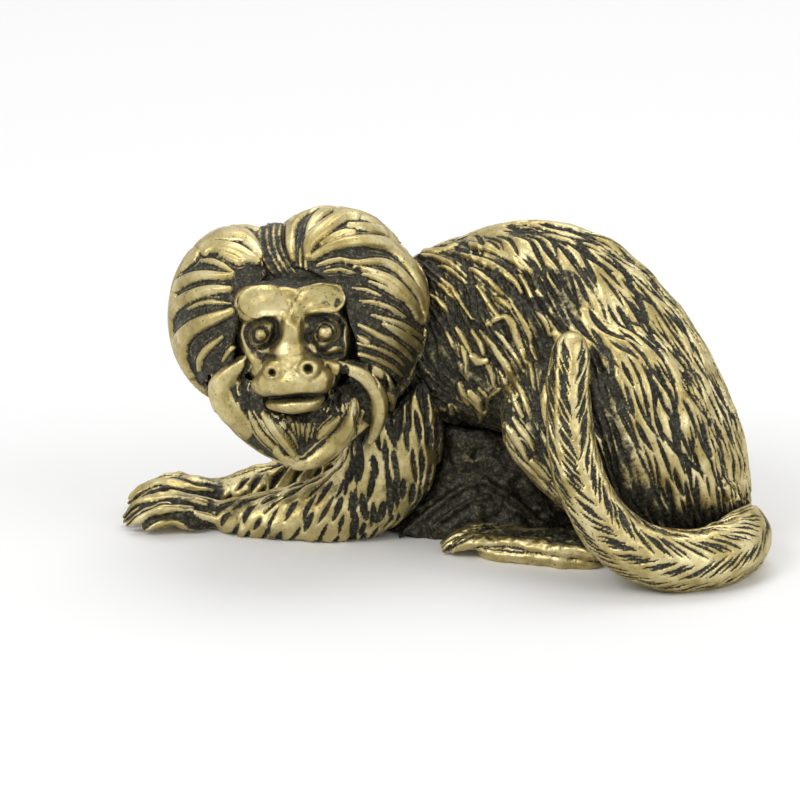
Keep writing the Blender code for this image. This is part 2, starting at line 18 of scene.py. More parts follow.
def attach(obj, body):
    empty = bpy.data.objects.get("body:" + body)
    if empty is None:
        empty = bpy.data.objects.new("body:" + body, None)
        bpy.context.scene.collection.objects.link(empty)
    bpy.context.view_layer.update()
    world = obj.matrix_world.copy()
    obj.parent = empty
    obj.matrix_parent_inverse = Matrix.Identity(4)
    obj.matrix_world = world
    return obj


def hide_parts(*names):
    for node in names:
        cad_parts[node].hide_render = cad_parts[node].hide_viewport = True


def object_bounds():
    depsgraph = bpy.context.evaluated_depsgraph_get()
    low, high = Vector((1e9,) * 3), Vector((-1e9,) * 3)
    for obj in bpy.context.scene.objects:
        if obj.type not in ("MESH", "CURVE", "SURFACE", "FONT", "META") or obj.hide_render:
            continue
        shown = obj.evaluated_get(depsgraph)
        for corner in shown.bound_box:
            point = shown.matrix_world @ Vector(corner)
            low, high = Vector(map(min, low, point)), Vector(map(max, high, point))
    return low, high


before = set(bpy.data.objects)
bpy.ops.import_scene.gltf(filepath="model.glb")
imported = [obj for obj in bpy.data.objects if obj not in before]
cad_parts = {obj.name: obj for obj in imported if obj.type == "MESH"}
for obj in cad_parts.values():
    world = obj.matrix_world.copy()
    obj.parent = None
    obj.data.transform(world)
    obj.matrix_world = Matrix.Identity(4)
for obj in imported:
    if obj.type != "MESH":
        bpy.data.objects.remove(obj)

CAD_LOW, CAD_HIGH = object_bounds()
MM = 0.001  # in metres, which is what Blender and the frame count in
print("nodes in the frame:", len(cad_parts))

# %% [markdown]
# ## The camera
# The photograph looks slightly down on the left side of the animal from about 27 cm. A long lens
# at that distance keeps the same mild perspective. The angle and the scale were read off the
# photograph, where 15.14 pixels are one millimetre.

# %% Camera
ELEVATION = math.radians(17.0)
DISTANCE = 270.0  # mm
PICTURE = 800  # pixels, its width and its height
PIXELS_PER_MM = 15.14
AIM = Vector((-2.76, 0.0, 9.58))  # mm, what the middle of the picture shows


def add_object(name, data):
    """A new object in the scene that shows this data."""
    made = bpy.data.objects.new(name, data)
    bpy.context.scene.collection.objects.link(made)
    return made


camera = add_object("camera", bpy.data.cameras.new("camera"))
camera.data.lens = camera.data.sensor_width * DISTANCE / (PICTURE / PIXELS_PER_MM)
camera.data.clip_start = 0.01  # m
back = Vector((0.0, -math.cos(ELEVATION), math.sin(ELEVATION)))
camera.location = (AIM + back * DISTANCE) * MM
camera.rotation_euler = (math.pi / 2 - ELEVATION, 0.0, 0.0)
bpy.context.scene.camera = camera
print("lens", round(camera.data.lens), "mm")

# %% [markdown]
# ## From CAD solid to casting blank
# A CAD node is a closed skin of loose triangles with visible facets. A copy of it is merged,
# joined with its neighbours and given to the Remesh modifier, which melts everything into one
# closed skin of even squares. Smooth then takes the facets off, as a wax model is rubbed with a
# warm tool. Large pieces also get a Subdivision Surface, for enough points to engrave. The CAD
# mesh itself stays as it is.

# %% Copying CAD nodes into one bmesh
MERGE = 0.002  # mm, points closer than this are one


def cad_copy(*nodes, swell=0.0):
    """One bmesh with merged copies of these CAD nodes, each grown by swell millimetres."""
    bm = bmesh.new()
    for node in nodes:
        one = bmesh.new()
        one.from_mesh(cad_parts[node].data)
        bmesh.ops.remove_doubles(one, verts=one.verts, dist=MERGE * MM)
        one.normal_update()
        for vert in one.verts:
            vert.co += vert.normal * swell * MM
        add_to(bm, one)
    return bm


def mesh_of(bm, name):
    """A mesh with what the bmesh holds. The bmesh is freed."""
    mesh = bpy.data.meshes.new(name)
    bm.to_mesh(mesh)
    bm.free()
    return mesh


def add_to(bm, other):
    """Puts a copy of the bmesh other into bm, and frees other."""
    passing = mesh_of(other, "passing")
    bm.from_mesh(passing)
    bpy.data.meshes.remove(passing)


def add_ball(bm, centre, radii, turn=None):
    """Adds an ellipsoid, in millimetres, to the bmesh."""
    place = Matrix.Translation(Vector(centre) * MM)
    if turn is not None:
        place = place @ turn.to_4x4()
    size = Matrix.Diagonal(Vector((*radii, 1.0 / MM)) * MM)  # the fourth number comes out as 1
    bmesh.ops.create_uvsphere(bm, u_segments=32, v_segments=20, radius=1.0, matrix=place @ size)


# %% Melting a bmesh into a piece
def blank(name, bm, voxel, rubs, levels=0):
    """Melts the bmesh into one closed skin, rubs it smooth and subdivides it levels times."""
    piece = add_object(name, mesh_of(bm, name))
    melt = piece.modifiers.new("melt", "REMESH")
    melt.mode = "VOXEL"
    melt.voxel_size = voxel * MM
    rub = piece.modifiers.new("rub", "SMOOTH")
    rub.factor = 0.5
    rub.iterations = rubs
    if levels:
        finer = piece.modifiers.new("finer", "SUBSURF")
        finer.levels = finer.render_levels = levels
    apply_all(piece)
    return piece


def evaluated_mesh(piece):
    """A new mesh of the object as its modifiers or its curve settings shape it."""
    graph = bpy.context.evaluated_depsgraph_get()
    return bpy.data.meshes.new_from_object(piece.evaluated_get(graph))


def apply_all(piece):
    """Replaces the piece's mesh by what its modifiers make of it."""
    made = evaluated_mesh(piece)
    piece.modifiers.clear()
    piece.data = made
    made.polygons.foreach_set("use_smooth", [True] * len(made.polygons))


def triangles_in(piece):
    piece.data.calc_loop_triangles()
    return len(piece.data.loop_triangles)


def say(piece, *words):
    """Prints what a step made of the piece."""
    print(piece.name + ":", *words, triangles_in(piece), "triangles")


# %% [markdown]
# ## Reading and moving the points of a skin
# Sculpting in code is moving points. NumPy holds all points of a piece in one array, in
# millimetres, and a few short functions read them, write them back, relax them towards their
# neighbours and give them smooth random numbers.

# %% Reading and writing points
def read_all(items, name, width, kind=float):
    """One row of numbers for each item of the mesh."""
    numbers = np.empty(len(items) * width, kind)
    items.foreach_get(name, numbers)
    return numbers.reshape(-1, width)


def read_points(piece):
    """(places in mm, normals) of the piece's points."""
    points = piece.data.vertices
    return read_all(points, "co", 3) / MM, read_all(points, "normal", 3)


def write_points(piece, places):
    piece.data.vertices.foreach_set("co", (places * MM).ravel())
    piece.data.update()


def push_out(piece, places, normals, amounts):
    """Moves the places along the normals by the amounts in mm, and writes them to the piece."""
    write_points(piece, places + normals * amounts[:, None])


def edges_of(piece):
    return read_all(piece.data.edges, "vertices", 2, int)


# %% Relaxing
def relaxed(values, ends, rounds):
    """Each point's number or vector moved halfway to the mean of its neighbours', rounds times."""
    count = len(values)
    columns = values.reshape(count, -1).copy()
    degree = np.maximum(np.bincount(ends.ravel(), minlength=count), 1)
    for _ in range(rounds):
        for axis, column in enumerate(columns.T.copy()):
            total = np.bincount(ends[:, 0], column[ends[:, 1]], count)
            total += np.bincount(ends[:, 1], column[ends[:, 0]], count)
            columns[:, axis] = column + 0.5 * (total / degree - column)
    return columns.reshape(values.shape)


def units(vectors):
    """The vectors, each made one long."""
    return vectors / np.linalg.norm(vectors, axis=1, keepdims=True)


# %% Smooth random numbers and soft steps
WAVES = 24  # plane waves in a sum that looks random


def lumps(places, size, seed):
    """Smooth random numbers of about -1 to 1 that change over size millimetres: a sum of waves."""
    rng = np.random.default_rng(seed)
    waves = rng.normal(size=(WAVES, 3))
    waves *= 2 * math.pi / size / np.linalg.norm(waves, axis=1, keepdims=True)
    waves *= rng.uniform(0.6, 1.4, (WAVES, 1))
    total = np.sin(places @ waves.T + rng.uniform(0, 2 * math.pi, WAVES)).sum(1)
    return total / 4.9  # about the root of WAVES


def smoothstep(low, high, values):
    """0 up to low, 1 from high on, with a smooth change between them."""
    share = np.clip((values - low) / (high - low), 0.0, 1.0)
    return share * share * (3.0 - 2.0 * share)


def bell(values, middle, width, power=2):
    """1 at the middle, falling to 0 a width or two away. A higher power has a flatter top."""
    return np.exp(-(((values - middle) / width) ** power))


# %% [markdown]
# ## Engraving fur
# On a wax model each tuft is cut with a pointed tool: here a groove of 1.5 to 4 mm, deepest in its
# middle, beside the next one. The tool follows the lie of the hair, so a direction is combed over
# the surface first. Starting points are then scattered so that no two grooves lie on each other,
# and every groove walks along the combed direction and presses the points near it inwards.

# %% Combing and scattering
def comb(normals, wish):
    """The wished direction of the hair, laid flat on the surface."""
    flat = wish - normals * np.sum(normals * wish, axis=1, keepdims=True)
    return flat / np.maximum(np.linalg.norm(flat, axis=1, keepdims=True), 1e-6)


def scatter(places, normals, hair, across, along, tries, seed):
    """Starting points that stay across apart sideways and along apart in the hair's direction."""
    rng = np.random.default_rng(seed)
    kept = []
    taken = np.empty((tries, 3))
    turned = np.empty((tries, 3))
    for index in rng.permutation(len(places))[:tries]:
        gap = taken[: len(kept)] - places[index]
        run = gap @ hair[index]
        side = np.linalg.norm(gap - run[:, None] * hair[index], axis=1)
        same_side = turned[: len(kept)] @ normals[index] > 0.2
        if np.any((np.abs(run) < along) & (side < across) & same_side):
            continue
        taken[len(kept)] = places[index]
        turned[len(kept)] = normals[index]
        kept.append(index)
    return kept


# %% Cutting grooves
TOOL_STEP = 0.13  # mm, from one place of the tool to the next in a groove


def tree_of(places):
    tree = KDTree(len(places))
    for index, place in enumerate(places):
        tree.insert(place, index)
    tree.balance()
    return tree


def groove_depths(places, normals, hair, starts, length, half_width, depth, seed):
    """How deep the grooves that start at these points press each point of the skin, in mm."""
    rng = np.random.default_rng(seed)
    tree = tree_of(places)
    hollow = np.zeros(len(places))
    for start in starts:
        size = rng.uniform(0.6, 1.35)
        steps = max(4, int(length * size / TOOL_STEP))
        wide = half_width * rng.uniform(0.75, 1.3)
        deep = depth * rng.uniform(0.7, 1.25)
        bend = rng.normal(0.0, 0.012)
        point = places[start] - hair[start] * steps * TOOL_STEP / 2
        for at in range(steps):
            _, near, _ = tree.find(point)
            point = point - normals[near] * np.dot(point - places[near], normals[near])
            share = (at + 0.5) / steps
            press(hollow, tree, point, wide * (0.45 + 0.55 * math.sin(math.pi * share ** 0.8)),
                  deep * math.sin(math.pi * share) ** 0.6)
            side = np.cross(normals[near], hair[near])
            point = point + (hair[near] + side * bend * at) * TOOL_STEP
    return hollow


def press(hollow, tree, point, wide, deep):
    """Deepens the hollow round one place of the tool."""
    for _, near, distance in tree.find_range(point, wide):
        level = deep * (1.0 - (distance / wide) ** 2)
        if level > hollow[near]:
            hollow[near] = level


def furrows(places, normals, hair, apart, size, tries, seed, where=None):
    """(number of grooves, how deep each point lies in them). A groove starts only in where.

    The grooves stay apart = (across, along) from each other, and their usual
    size = (length, half width, depth), all in mm.
    """
    starts = scatter(places, normals, hair, *apart, tries, seed)
    if where is not None:
        starts = [at for at in starts if where[at]]
    return len(starts), groove_depths(places, normals, hair, starts, *size, seed + 1)


# %% Cutting along given lines
LINE_STEP = 0.08  # mm, the same for a line whose places are given


def reached(line):
    """How far along the line each of its corners lies."""
    return np.r_[0.0, np.cumsum(np.linalg.norm(np.diff(line, axis=0), axis=1))]


def line_depths(places, lines, half_width, depth):
    """As groove_depths, for lines given as lists of places in millimetres."""
    tree = tree_of(places)
    hollow = np.zeros(len(places))
    for line in lines:
        line = np.array(line, float)
        lengths = reached(line)
        steps = max(3, int(lengths[-1] / LINE_STEP))
        for at in range(steps + 1):
            share = at / steps
            point = [np.interp(share * lengths[-1], lengths, line[:, axis]) for axis in range(3)]
            taper = math.sin(math.pi * min(max(share, 0.08), 0.92)) ** 0.5
            press(hollow, tree, point, half_width * (0.6 + 0.4 * taper), depth * taper)
    return hollow


# %% [markdown]
# ## Drawing over the photograph
# The face, the mane, the fingers and the clearest strands were traced over the photograph: a lock
# is a half width and a line of corners, and a plate is a closed outline, all in pixels. Each point
# of a skin knows where the camera sees it, so a traced line can be raised or cut on whatever form
# lies under it.

# %% Between places and pixels
LOOK_SIDE = np.array((1.0, 0.0, 0.0))
LOOK_BACK = np.array(back)
LOOK_OVER = np.cross(LOOK_BACK, LOOK_SIDE)
EYE_POINT = np.array(AIM) + LOOK_BACK * DISTANCE


def facing(normals, low, high):
    """From 0 to 1, as the skin turns to the camera."""
    return smoothstep(low, high, normals @ LOOK_BACK)


def picture_of(places):
    """Where the camera sees each place, in pixels of the photograph."""
    gap = places - EYE_POINT
    scale = DISTANCE * PIXELS_PER_MM / -(gap @ LOOK_BACK)
    return np.stack([PICTURE / 2 + gap @ LOOK_SIDE * scale,
                     PICTURE / 2 - gap @ LOOK_OVER * scale], axis=1)


def ray_of(pixel):
    """The direction in which the camera looks at this pixel."""
    return (LOOK_SIDE * (pixel[0] - PICTURE / 2) + LOOK_OVER * (PICTURE / 2 - pixel[1])
            - LOOK_BACK * DISTANCE * PIXELS_PER_MM)


# %% Corners and smooth lines
def xy(*numbers):
    """Corners in pixels: each row is one corner's x and y."""
    return np.reshape(numbers, (-1, 2)).astype(float)


def traced(*rows, sizes=1):
    """Locks as (corners, size, ...), from rows that hold the sizes and then the corners."""
    return [(xy(*row[sizes:]), *row[:sizes]) for row in rows]


def softened(line, rounds):
    """The line with its corners rounded. Its ends stay."""
    for _ in range(rounds):
        line[1:-1] = (line[:-2] + line[1:-1] * 2 + line[2:]) / 4
    return line


def evenly(line, count):
    """count even stations on a line of corners."""
    lengths = reached(line)
    wanted = np.linspace(0.0, lengths[-1], count)
    return np.stack([np.interp(wanted, lengths, axis) for axis in line.T], axis=1)


def eased(corners, count=30):
    """The traced corners as a smooth line of even steps."""
    return softened(evenly(corners, count), 3)


# %% Beside a line and within an outline
def beside(pixels, line):
    """(distance, share of the way, side) of each picture point to a line of corners."""
    steps = np.diff(line, axis=0)
    lengths = np.linalg.norm(steps, axis=1)
    sofar = reached(line)
    nearest = np.full(len(pixels), np.inf)
    share, side = np.zeros(len(pixels)), np.zeros(len(pixels))
    for start, step, length, before in zip(line, steps, lengths, sofar):
        gap = pixels - start
        part = np.clip(gap @ step / length ** 2, 0.0, 1.0)
        away = gap - part[:, None] * step
        far = np.hypot(away[:, 0], away[:, 1])
        closer = far < nearest
        nearest[closer] = far[closer]
        share[closer] = ((before + part * length) / sofar[-1])[closer]
        side[closer] = np.sign(step[0] * away[:, 1] - step[1] * away[:, 0])[closer]
    return nearest, share, side


def within(pixels, outline):
    """How far each picture point lies inside a closed outline, in pixels; outside is negative."""
    closed = np.array([*outline, outline[0]])
    inside = np.zeros(len(pixels), bool)
    x, y = pixels.T
    for (x1, y1), (x2, y2) in zip(closed, closed[1:]):
        if y1 != y2:
            inside ^= ((y1 > y) != (y2 > y)) & (x < (x2 - x1) * (y - y1) / (y2 - y1) + x1)
    far = beside(pixels, closed)[0]
    return np.where(inside, far, -far)


def filled(pixels, outline, low, high):
    """From 0 to 1, as a picture point lies low to high pixels inside the outline."""
    return smoothstep(low, high, within(pixels, outline))


# %% Locks as relief
def traced_relief(pixels, drawn, grow=0.25):
    """(rise in mm, crest from 0 to 1) of the traced locks at each picture point.

    A lock is a rounded ridge that narrows at its ends. Wide ones carry fine hairs, and a thin
    strand runs along each side of every lock.
    """
    rise, crest = np.zeros(len(pixels)), np.zeros(len(pixels))
    for corners, half_width in drawn:
        far, share, side = beside(pixels, eased(corners))
        width = (half_width + grow) * (
            0.3 + 0.7 * np.sin(np.pi * np.clip(share, 0.05, 0.95)) ** 0.5)
        across = far / width
        form = np.sqrt(np.clip(1 - across ** 3, 0, 1))
        hairs = np.cos(across * side * math.pi * max(1.0, half_width / 2.4) + share * 4)
        height = (0.17 + 0.045 * half_width) * form + 0.02 * hairs * form * (half_width > 3.5)
        higher = height > rise
        rise[higher] = height[higher]
        strand = bell(far - width, 2.7, 1.2) * (share > 0.08) * (share < 0.92)
        rise = np.maximum(rise, 0.1 * strand)
        crest = np.maximum(crest, np.maximum(form, 0.34 * strand))
    return rise, crest


# %% [markdown]
# ## Locks and fingers as tubes
# A relief only lifts the skin that is there. Where a lock or a finger stands clear of it, a ray
# is cast from the camera through every traced corner, and a tapered tube runs past the places
# that the rays meet. Its ends sink in, so that it melts into the blank without a step.

# %% Tubes laid over a skin
LOCK_CORNERS = 26  # even corners of a lock that becomes a tube


def seen_at(pixel, skin):
    """(place, outward direction) where the camera sees this spot of the picture on the skin."""
    ray = ray_of(pixel)
    hit, normal, _, _ = skin.ray_cast(Vector(EYE_POINT) * MM, Vector(ray).normalized())
    if hit is None:
        return None
    normal = np.array(normal) * (1 if np.dot(normal, ray) < 0 else -1)
    return np.array(hit) / MM, normal


def taut_lock(corners, radius, skin, proud):
    """As drawn_lock, for a rim that spans the hollows of the skin instead of dipping into them."""
    pixels = eased(corners, LOCK_CORNERS)
    spots = [seen_at(pixel, skin) for pixel in pixels]
    reach = np.array([np.linalg.norm(spot[0] - EYE_POINT) if spot else np.nan for spot in spots])
    stations = np.arange(LOCK_CORNERS)
    reach = np.interp(stations, np.flatnonzero(~np.isnan(reach)), reach[~np.isnan(reach)])
    skin_reach = reach
    reach = np.array([reach[max(0, at - 4):at + 5].min() for at in stations])
    for _ in range(80):
        reach = np.minimum(softened(reach, 1), skin_reach)
    rays = units(np.array([ray_of(pixel) for pixel in pixels]))
    share = np.linspace(0.0, 1.0, LOCK_CORNERS)
    sunk = 0.25 * smoothstep(0.18, 0.0, share) + 0.45 * smoothstep(0.8, 1.0, share)
    line = EYE_POINT + rays * (reach - proud + radius + sunk)[:, None]
    return line, radius * (0.3 + 0.7 * np.sin(np.pi * np.clip(share, 0.25, 0.97)) ** 0.6)


def drawn_lock(corners, radius, skin, sink, proud):
    """A tube traced over the photograph, as (line, radii), or None where there is no skin.

    Its middle stands proud of the skin, and its two ends sink in by the two depths of sink.
    """
    line, radii = [], []
    stations = np.linspace(0.0, 1.0, LOCK_CORNERS)
    for share, pixel in zip(stations, eased(corners, LOCK_CORNERS)):
        spot = seen_at(pixel, skin)
        if spot is None:
            continue
        depth = sink[0] * (1 - smoothstep(0.0, 0.3, share)) + sink[1] * smoothstep(0.75, 1.0, share)
        line.append(spot[0] + spot[1] * (proud - depth))
        radii.append(radius * (0.5 + 0.5 * math.sin(math.pi * min(share * 0.8 + 0.15, 1.0)) ** 0.7))
    if len(line) < 5:
        return None
    return softened(np.array(line), 2), np.array(radii)


def mesh_of_curve(curve):
    holder = add_object(curve.name, curve)
    mesh = evaluated_mesh(holder)
    bpy.data.objects.remove(holder)
    return mesh


def lock_tubes(locks):
    """A bmesh of tapered tubes, one for each (line, radii) in millimetres."""
    curve = bpy.data.curves.new("locks", "CURVE")
    curve.dimensions = "3D"
    curve.bevel_depth = MM
    curve.bevel_resolution = 2
    curve.use_fill_caps = True
    for line, radii in locks:
        spline = curve.splines.new("POLY")
        spline.points.add(len(line) - 1)
        for point, place, radius in zip(spline.points, line, radii):
            point.co = (*(np.array(place) * MM), 1.0)
            point.radius = radius
    bm = bmesh.new()
    bm.from_mesh(mesh_of_curve(curve))
    return bm


# %% [markdown]
# ## The body: chest, back and both haunches
# The three solids are one flowing form in the photograph, so they are melted into one. The hair
# lies towards the tail on the back, turns down over the flank and hangs almost straight on the
# haunch. That falls out of one wish, backwards and down, laid flat on the surface. Between the
# mane and the haunch the photograph shows single strands, so those are traced and raised.

# %% Traced strands between the mane and the haunch
NECK = xy(
    418, 240, 446, 240, 466, 236, 520, 262, 556, 290, 556, 330, 545, 360, 538, 400, 550, 492, 520,
    470, 500, 440, 455, 434, 436, 400, 430, 350, 418, 330)
NECK_STRANDS = traced(  # half width and corners in pixels
    (1.9, 418, 250, 430, 250, 443, 248, 456, 244),
    (2.3, 419, 255, 430, 255, 437, 257, 446, 261, 455, 266, 465, 275),
    (2.1, 438, 266, 446, 267, 453, 272, 458, 276, 465, 282),
    (2.2, 424, 264, 431, 271, 440, 278, 448, 285, 456, 295, 462, 305, 467, 313, 471, 319),
    (2.2, 428, 275, 436, 282, 445, 290, 454, 299),
    (2.3, 428, 293, 436, 299, 442, 304, 446, 311, 448, 322),
    (2.3, 426, 303, 434, 312, 440, 321, 445, 330, 449, 339, 452, 346),
    (2.7, 470, 268, 480, 273, 488, 280, 496, 288, 502, 294),
    (3.6, 462, 254, 476, 258, 490, 264, 504, 272, 514, 281, 521, 292),
    (3.6, 470, 244, 486, 246, 502, 252, 518, 262, 530, 272),
    (2.1, 476, 286, 483, 295, 488, 303, 493, 310, 498, 316), (3.0, 496, 298, 504, 302, 510, 308),
    (2.7, 519, 275, 525, 284, 529, 293, 534, 304, 540, 315, 546, 325, 549, 335),
    (3.0, 536, 291, 545, 302, 552, 313),
    (2.5, 512, 304, 520, 316, 525, 326, 530, 337, 531, 349, 535, 357),
    (3.8, 487, 324, 497, 318, 507, 317, 513, 325, 516, 337, 521, 350, 525, 361),
    (2.2, 487, 320, 495, 332, 504, 341, 511, 351, 518, 362, 523, 371),
    (3.2, 480, 331, 492, 345, 498, 355, 505, 365, 511, 377, 518, 387, 523, 397),
    (3.0, 456, 328, 465, 344, 470, 352), (2.6, 461, 346, 465, 359, 466, 373),
    (3.0, 471, 331, 479, 342, 483, 354), (4.4, 471, 356, 478, 362, 486, 362),
    (2.5, 485, 363, 491, 374, 494, 387), (2.3, 499, 372, 504, 384, 511, 394, 516, 405, 522, 417),
    (2.6, 510, 376, 520, 390, 525, 401, 529, 414), (1.9, 529, 361, 531, 374, 534, 389),
    (3.8, 459, 384, 463, 396, 469, 404), (5.0, 469, 394, 477, 404, 481, 417),
    (3.0, 449, 406, 452, 418, 459, 428), (2.2, 478, 389, 489, 401, 487, 411, 481, 419),
    (2.4, 489, 397, 498, 389), (3.4, 504, 424, 512, 436, 519, 446, 527, 460),
    (2.8, 501, 436, 507, 450, 515, 460, 525, 468, 535, 478, 546, 490),
    (2.6, 513, 418, 522, 432, 529, 440, 534, 450), (3.0, 530, 462, 538, 471, 548, 481))

# The curl of hair at the end of the rump, and the hollows of the fur where shade is painted in.
HOOK = xy(727, 499, 725, 490, 729, 484, 735, 485, 738, 492, 737, 500)
SHADED_FUR = [
    xy(586, 345, 612, 350, 618, 400, 630, 445, 645, 480, 668, 508, 705, 512, 700, 528, 650, 522,
     612, 492, 596, 430),
    xy(548, 262, 572, 270, 584, 300, 582, 332, 562, 326, 552, 296),
    xy(430, 440, 470, 425, 500, 440, 505, 470, 470, 480, 440, 470)]

# %% Body's blank
PRESSED = {}  # for each piece, how deep the tool went at each point, in mm
STAINED_AND_SHADED = {}  # for each piece, from 0 to 1, where the cloth doesn't reach and where shade is painted
SWELL = 0.36  # mm, closes the seams between the three solids before they are melted
SHRINK = 0.26  # mm, taken off again after that
body = blank("furred_body", cad_copy("torso", "left_haunch", "right_haunch", swell=SWELL),
             voxel=0.43, rubs=11, levels=2)
places, normals = read_points(body)
places = places - normals * SHRINK
places += normals * (lumps(places, 3.2, 3) * 0.07)[:, None]

# %% Lie of the body's hair, and its grooves
CHEST, RUMP = -6.5, 20.7  # mm, x of the two ends between which the hair turns down
share = np.clip((places[:, 0] - CHEST) / (RUMP - CHEST), 0.0, 1.0)
wish = np.stack([0.85 - 0.7 * share, np.zeros(len(places)), -np.ones(len(places))], axis=1)
wish[:, 0] += 0.1 * lumps(places, 5.0, 5)
hair = comb(normals, wish)
count, hollow = furrows(places, normals, hair, (0.36, 1.8), (3.5, 0.2, 0.3), tries=24000, seed=7)
hollow *= 0.95 + 0.22 * lumps(places, 4.5, 6)

# %% Traced strands and painted shade of the body
FUR_SHADE = 0.42  # how dark the painted shade is in the shaded outlines of the fur
pixels = picture_of(places)
near_mane = filled(pixels, NECK, -6.0, 7.0) * facing(normals, -0.1, 0.2)
rise, crest = traced_relief(pixels, NECK_STRANDS, grow=0.5)
hollow = hollow * (1 - 0.75 * near_mane * crest) + (0.1 - rise * 0.75) * near_mane
PRESSED[body] = hollow * (1 - near_mane * crest)
STAINED_AND_SHADED[body] = 0.52 * near_mane * smoothstep(0.6, 0.1, crest)
seen = facing(normals, 0.0, 0.3)
for outline in SHADED_FUR:
    # painted shade in the hollows beside the tail, next to the mane and below the shoulder
    painted_shade = FUR_SHADE * filled(pixels, outline, -9.0, 6.0) * seen
    STAINED_AND_SHADED[body] = np.maximum(STAINED_AND_SHADED[body], painted_shade)
rise, _ = traced_relief(pixels, [(HOOK, 2.2)], grow=0.6)
hollow -= rise * seen
push_out(body, places, normals, -hollow)
say(body, count, "grooves,")

# %% [markdown]
# ## The tail
# Its hair is cut as a herringbone: short strokes that leave a middle line and point to the tip.
# The middle line runs along the outer side of the tail, which is the side that is seen. The
# strokes are placed from the same centre line that the solid follows.

# %% Tail's centre line
TAIL_LINE = [  # x, y and z in mm
    (17.5, 0.3, 3.0), (19.2, -2.7, 2.2), (19.7, -6.1, 1.9), (17.9, -9.5, 1.9), (14.3, -10.7, 1.9),
    (11.1, -10.3, 3.2), (8.9, -9.7, 6.4), (8.0, -8.6, 10.2), (8.1, -7.2, 13.6), (8.2, -6.5, 15.0)]
OUTER_SIDE = Vector((0.15, -0.9, 0.35))  # where the middle line of the herringbone runs
TAIL_RADIUS = 1.9  # mm
STROKES_APART = 46.0  # degrees round the tail


def tail_stations(count):
    """Even stations on the tail's centre line: (places, directions)."""
    curve = bpy.data.curves.new("tail_line", "CURVE")
    curve.dimensions = "3D"
    spline = curve.splines.new("NURBS")
    spline.points.add(len(TAIL_LINE) - 1)
    for point, (x, y, z) in zip(spline.points, TAIL_LINE):
        point.co = (x * MM, y * MM, z * MM, 1.0)
    spline.order_u = 3
    spline.use_endpoint_u = True
    spline.resolution_u = 24
    line = np.array([vert.co[:] for vert in mesh_of_curve(curve).vertices]) / MM
    places = evenly(line, count)
    return places, units(np.gradient(places, axis=0))


# %% Tail
tail = blank("braided_tail", cad_copy("tail", swell=0.05), voxel=0.42, rubs=3, levels=2)
places, normals = read_points(tail)
line, ahead = tail_stations(60)
rng = np.random.default_rng(21)
strokes = []
skin = tree_of(places)
for at in range(1, len(line)):
    forward = Vector(ahead[at])
    outward = (OUTER_SIDE - forward * OUTER_SIDE.dot(forward)).normalized()
    sideways = forward.cross(outward)
    for sector in range(-3, 3):
        fold = 1.0 if sector >= 0 else -1.0
        swing = math.radians(STROKES_APART * (sector + 0.5) + rng.uniform(-5, 5))
        slide = (0.4 if sector in (-2, 1) else 0.0) + rng.uniform(-0.12, 0.12)
        reach = rng.uniform(0.8, 1.15)
        stroke = []
        for part in np.linspace(-0.5, 0.5, 6) * reach:
            turn = swing + fold * part * 0.54
            out = (outward * math.cos(turn) + sideways * math.sin(turn)) * TAIL_RADIUS
            spot = Vector(line[at]) + out + forward * (part * 1.75 + slide)
            stroke.append(places[skin.find(spot)[1]])
        strokes.append(stroke)
hollow = line_depths(places, strokes, half_width=0.14, depth=0.18)
PRESSED[tail] = hollow * 1.5
places += normals * (lumps(places, 1.8, 22) * 0.05)[:, None]
push_out(tail, places, normals, -hollow)
say(tail, len(strokes), "strokes,")

# %% [markdown]
# ## The rough web under the belly
# Between chest, haunch and ground the photograph shows a dark web of metal, rough as from the
# casting. It is melted coarsely and given a crumbled skin.

# %% Web
web = blank("rough_web", cad_copy("belly_web", swell=0.2), voxel=0.4, rubs=3, levels=1)
places, normals = read_points(web)
crumble = lumps(places, 0.9, 31) * 0.1 + lumps(places, 2.4, 32) * 0.12
RIDGES = traced(  # half width and corners in pixels
    (3.5, 400, 537, 424, 516, 446, 498, 468, 485, 486, 480),
    (3.5, 484, 480, 503, 492, 526, 510, 550, 530), (2.4, 428, 532, 449, 514, 472, 500, 490, 496))
rise, _ = traced_relief(picture_of(places), RIDGES)
crumble += (np.maximum(rise - 0.1, 0) * 1.8 - 0.1) * facing(normals, 0.0, 0.3)
push_out(web, places, normals, crumble)
say(web)

# %% [markdown]
# ## The arms, hands and feet
# The upper arm hangs beside the beard and the forearm lies flat on the ground. A small ball in
# the wrist closes the seam between the two solids. The long fingers are laid over the hand as
# tubes, traced over the photograph, and melted in. Finger lines are then raised on the skin that
# the camera sees.

# %% Wrists, fingers and finger lines
WRISTS = {"left": (-15.32, 2.08, 0.95), "right": (-15.22, 6.08, 1.1)}
ELBOW_X = -3.3  # mm
FINGERS = {  # radius in mm and corners in pixels
    "left": traced(
        (0.3, 121, 512, 128, 503, 140, 495, 152, 491, 166, 490, 184, 494, 200, 499, 217, 503, 236,
         505),
        (0.4, 119, 524, 123, 514, 132, 506, 145, 500, 160, 498, 176, 499, 190, 502, 204, 506),
        (0.36, 130, 530, 138, 522, 148, 515, 160, 510, 173, 508, 185, 510, 194, 514),
        (0.3, 144, 533, 150, 526, 159, 522, 168, 524, 172, 532)),
    "right": traced(
        (0.3, 124, 500, 131, 486, 145, 474, 161, 470, 177, 472, 195, 479, 213, 485),
        (0.3, 123, 506, 134, 492, 150, 483, 166, 481, 184, 485, 202, 490))}

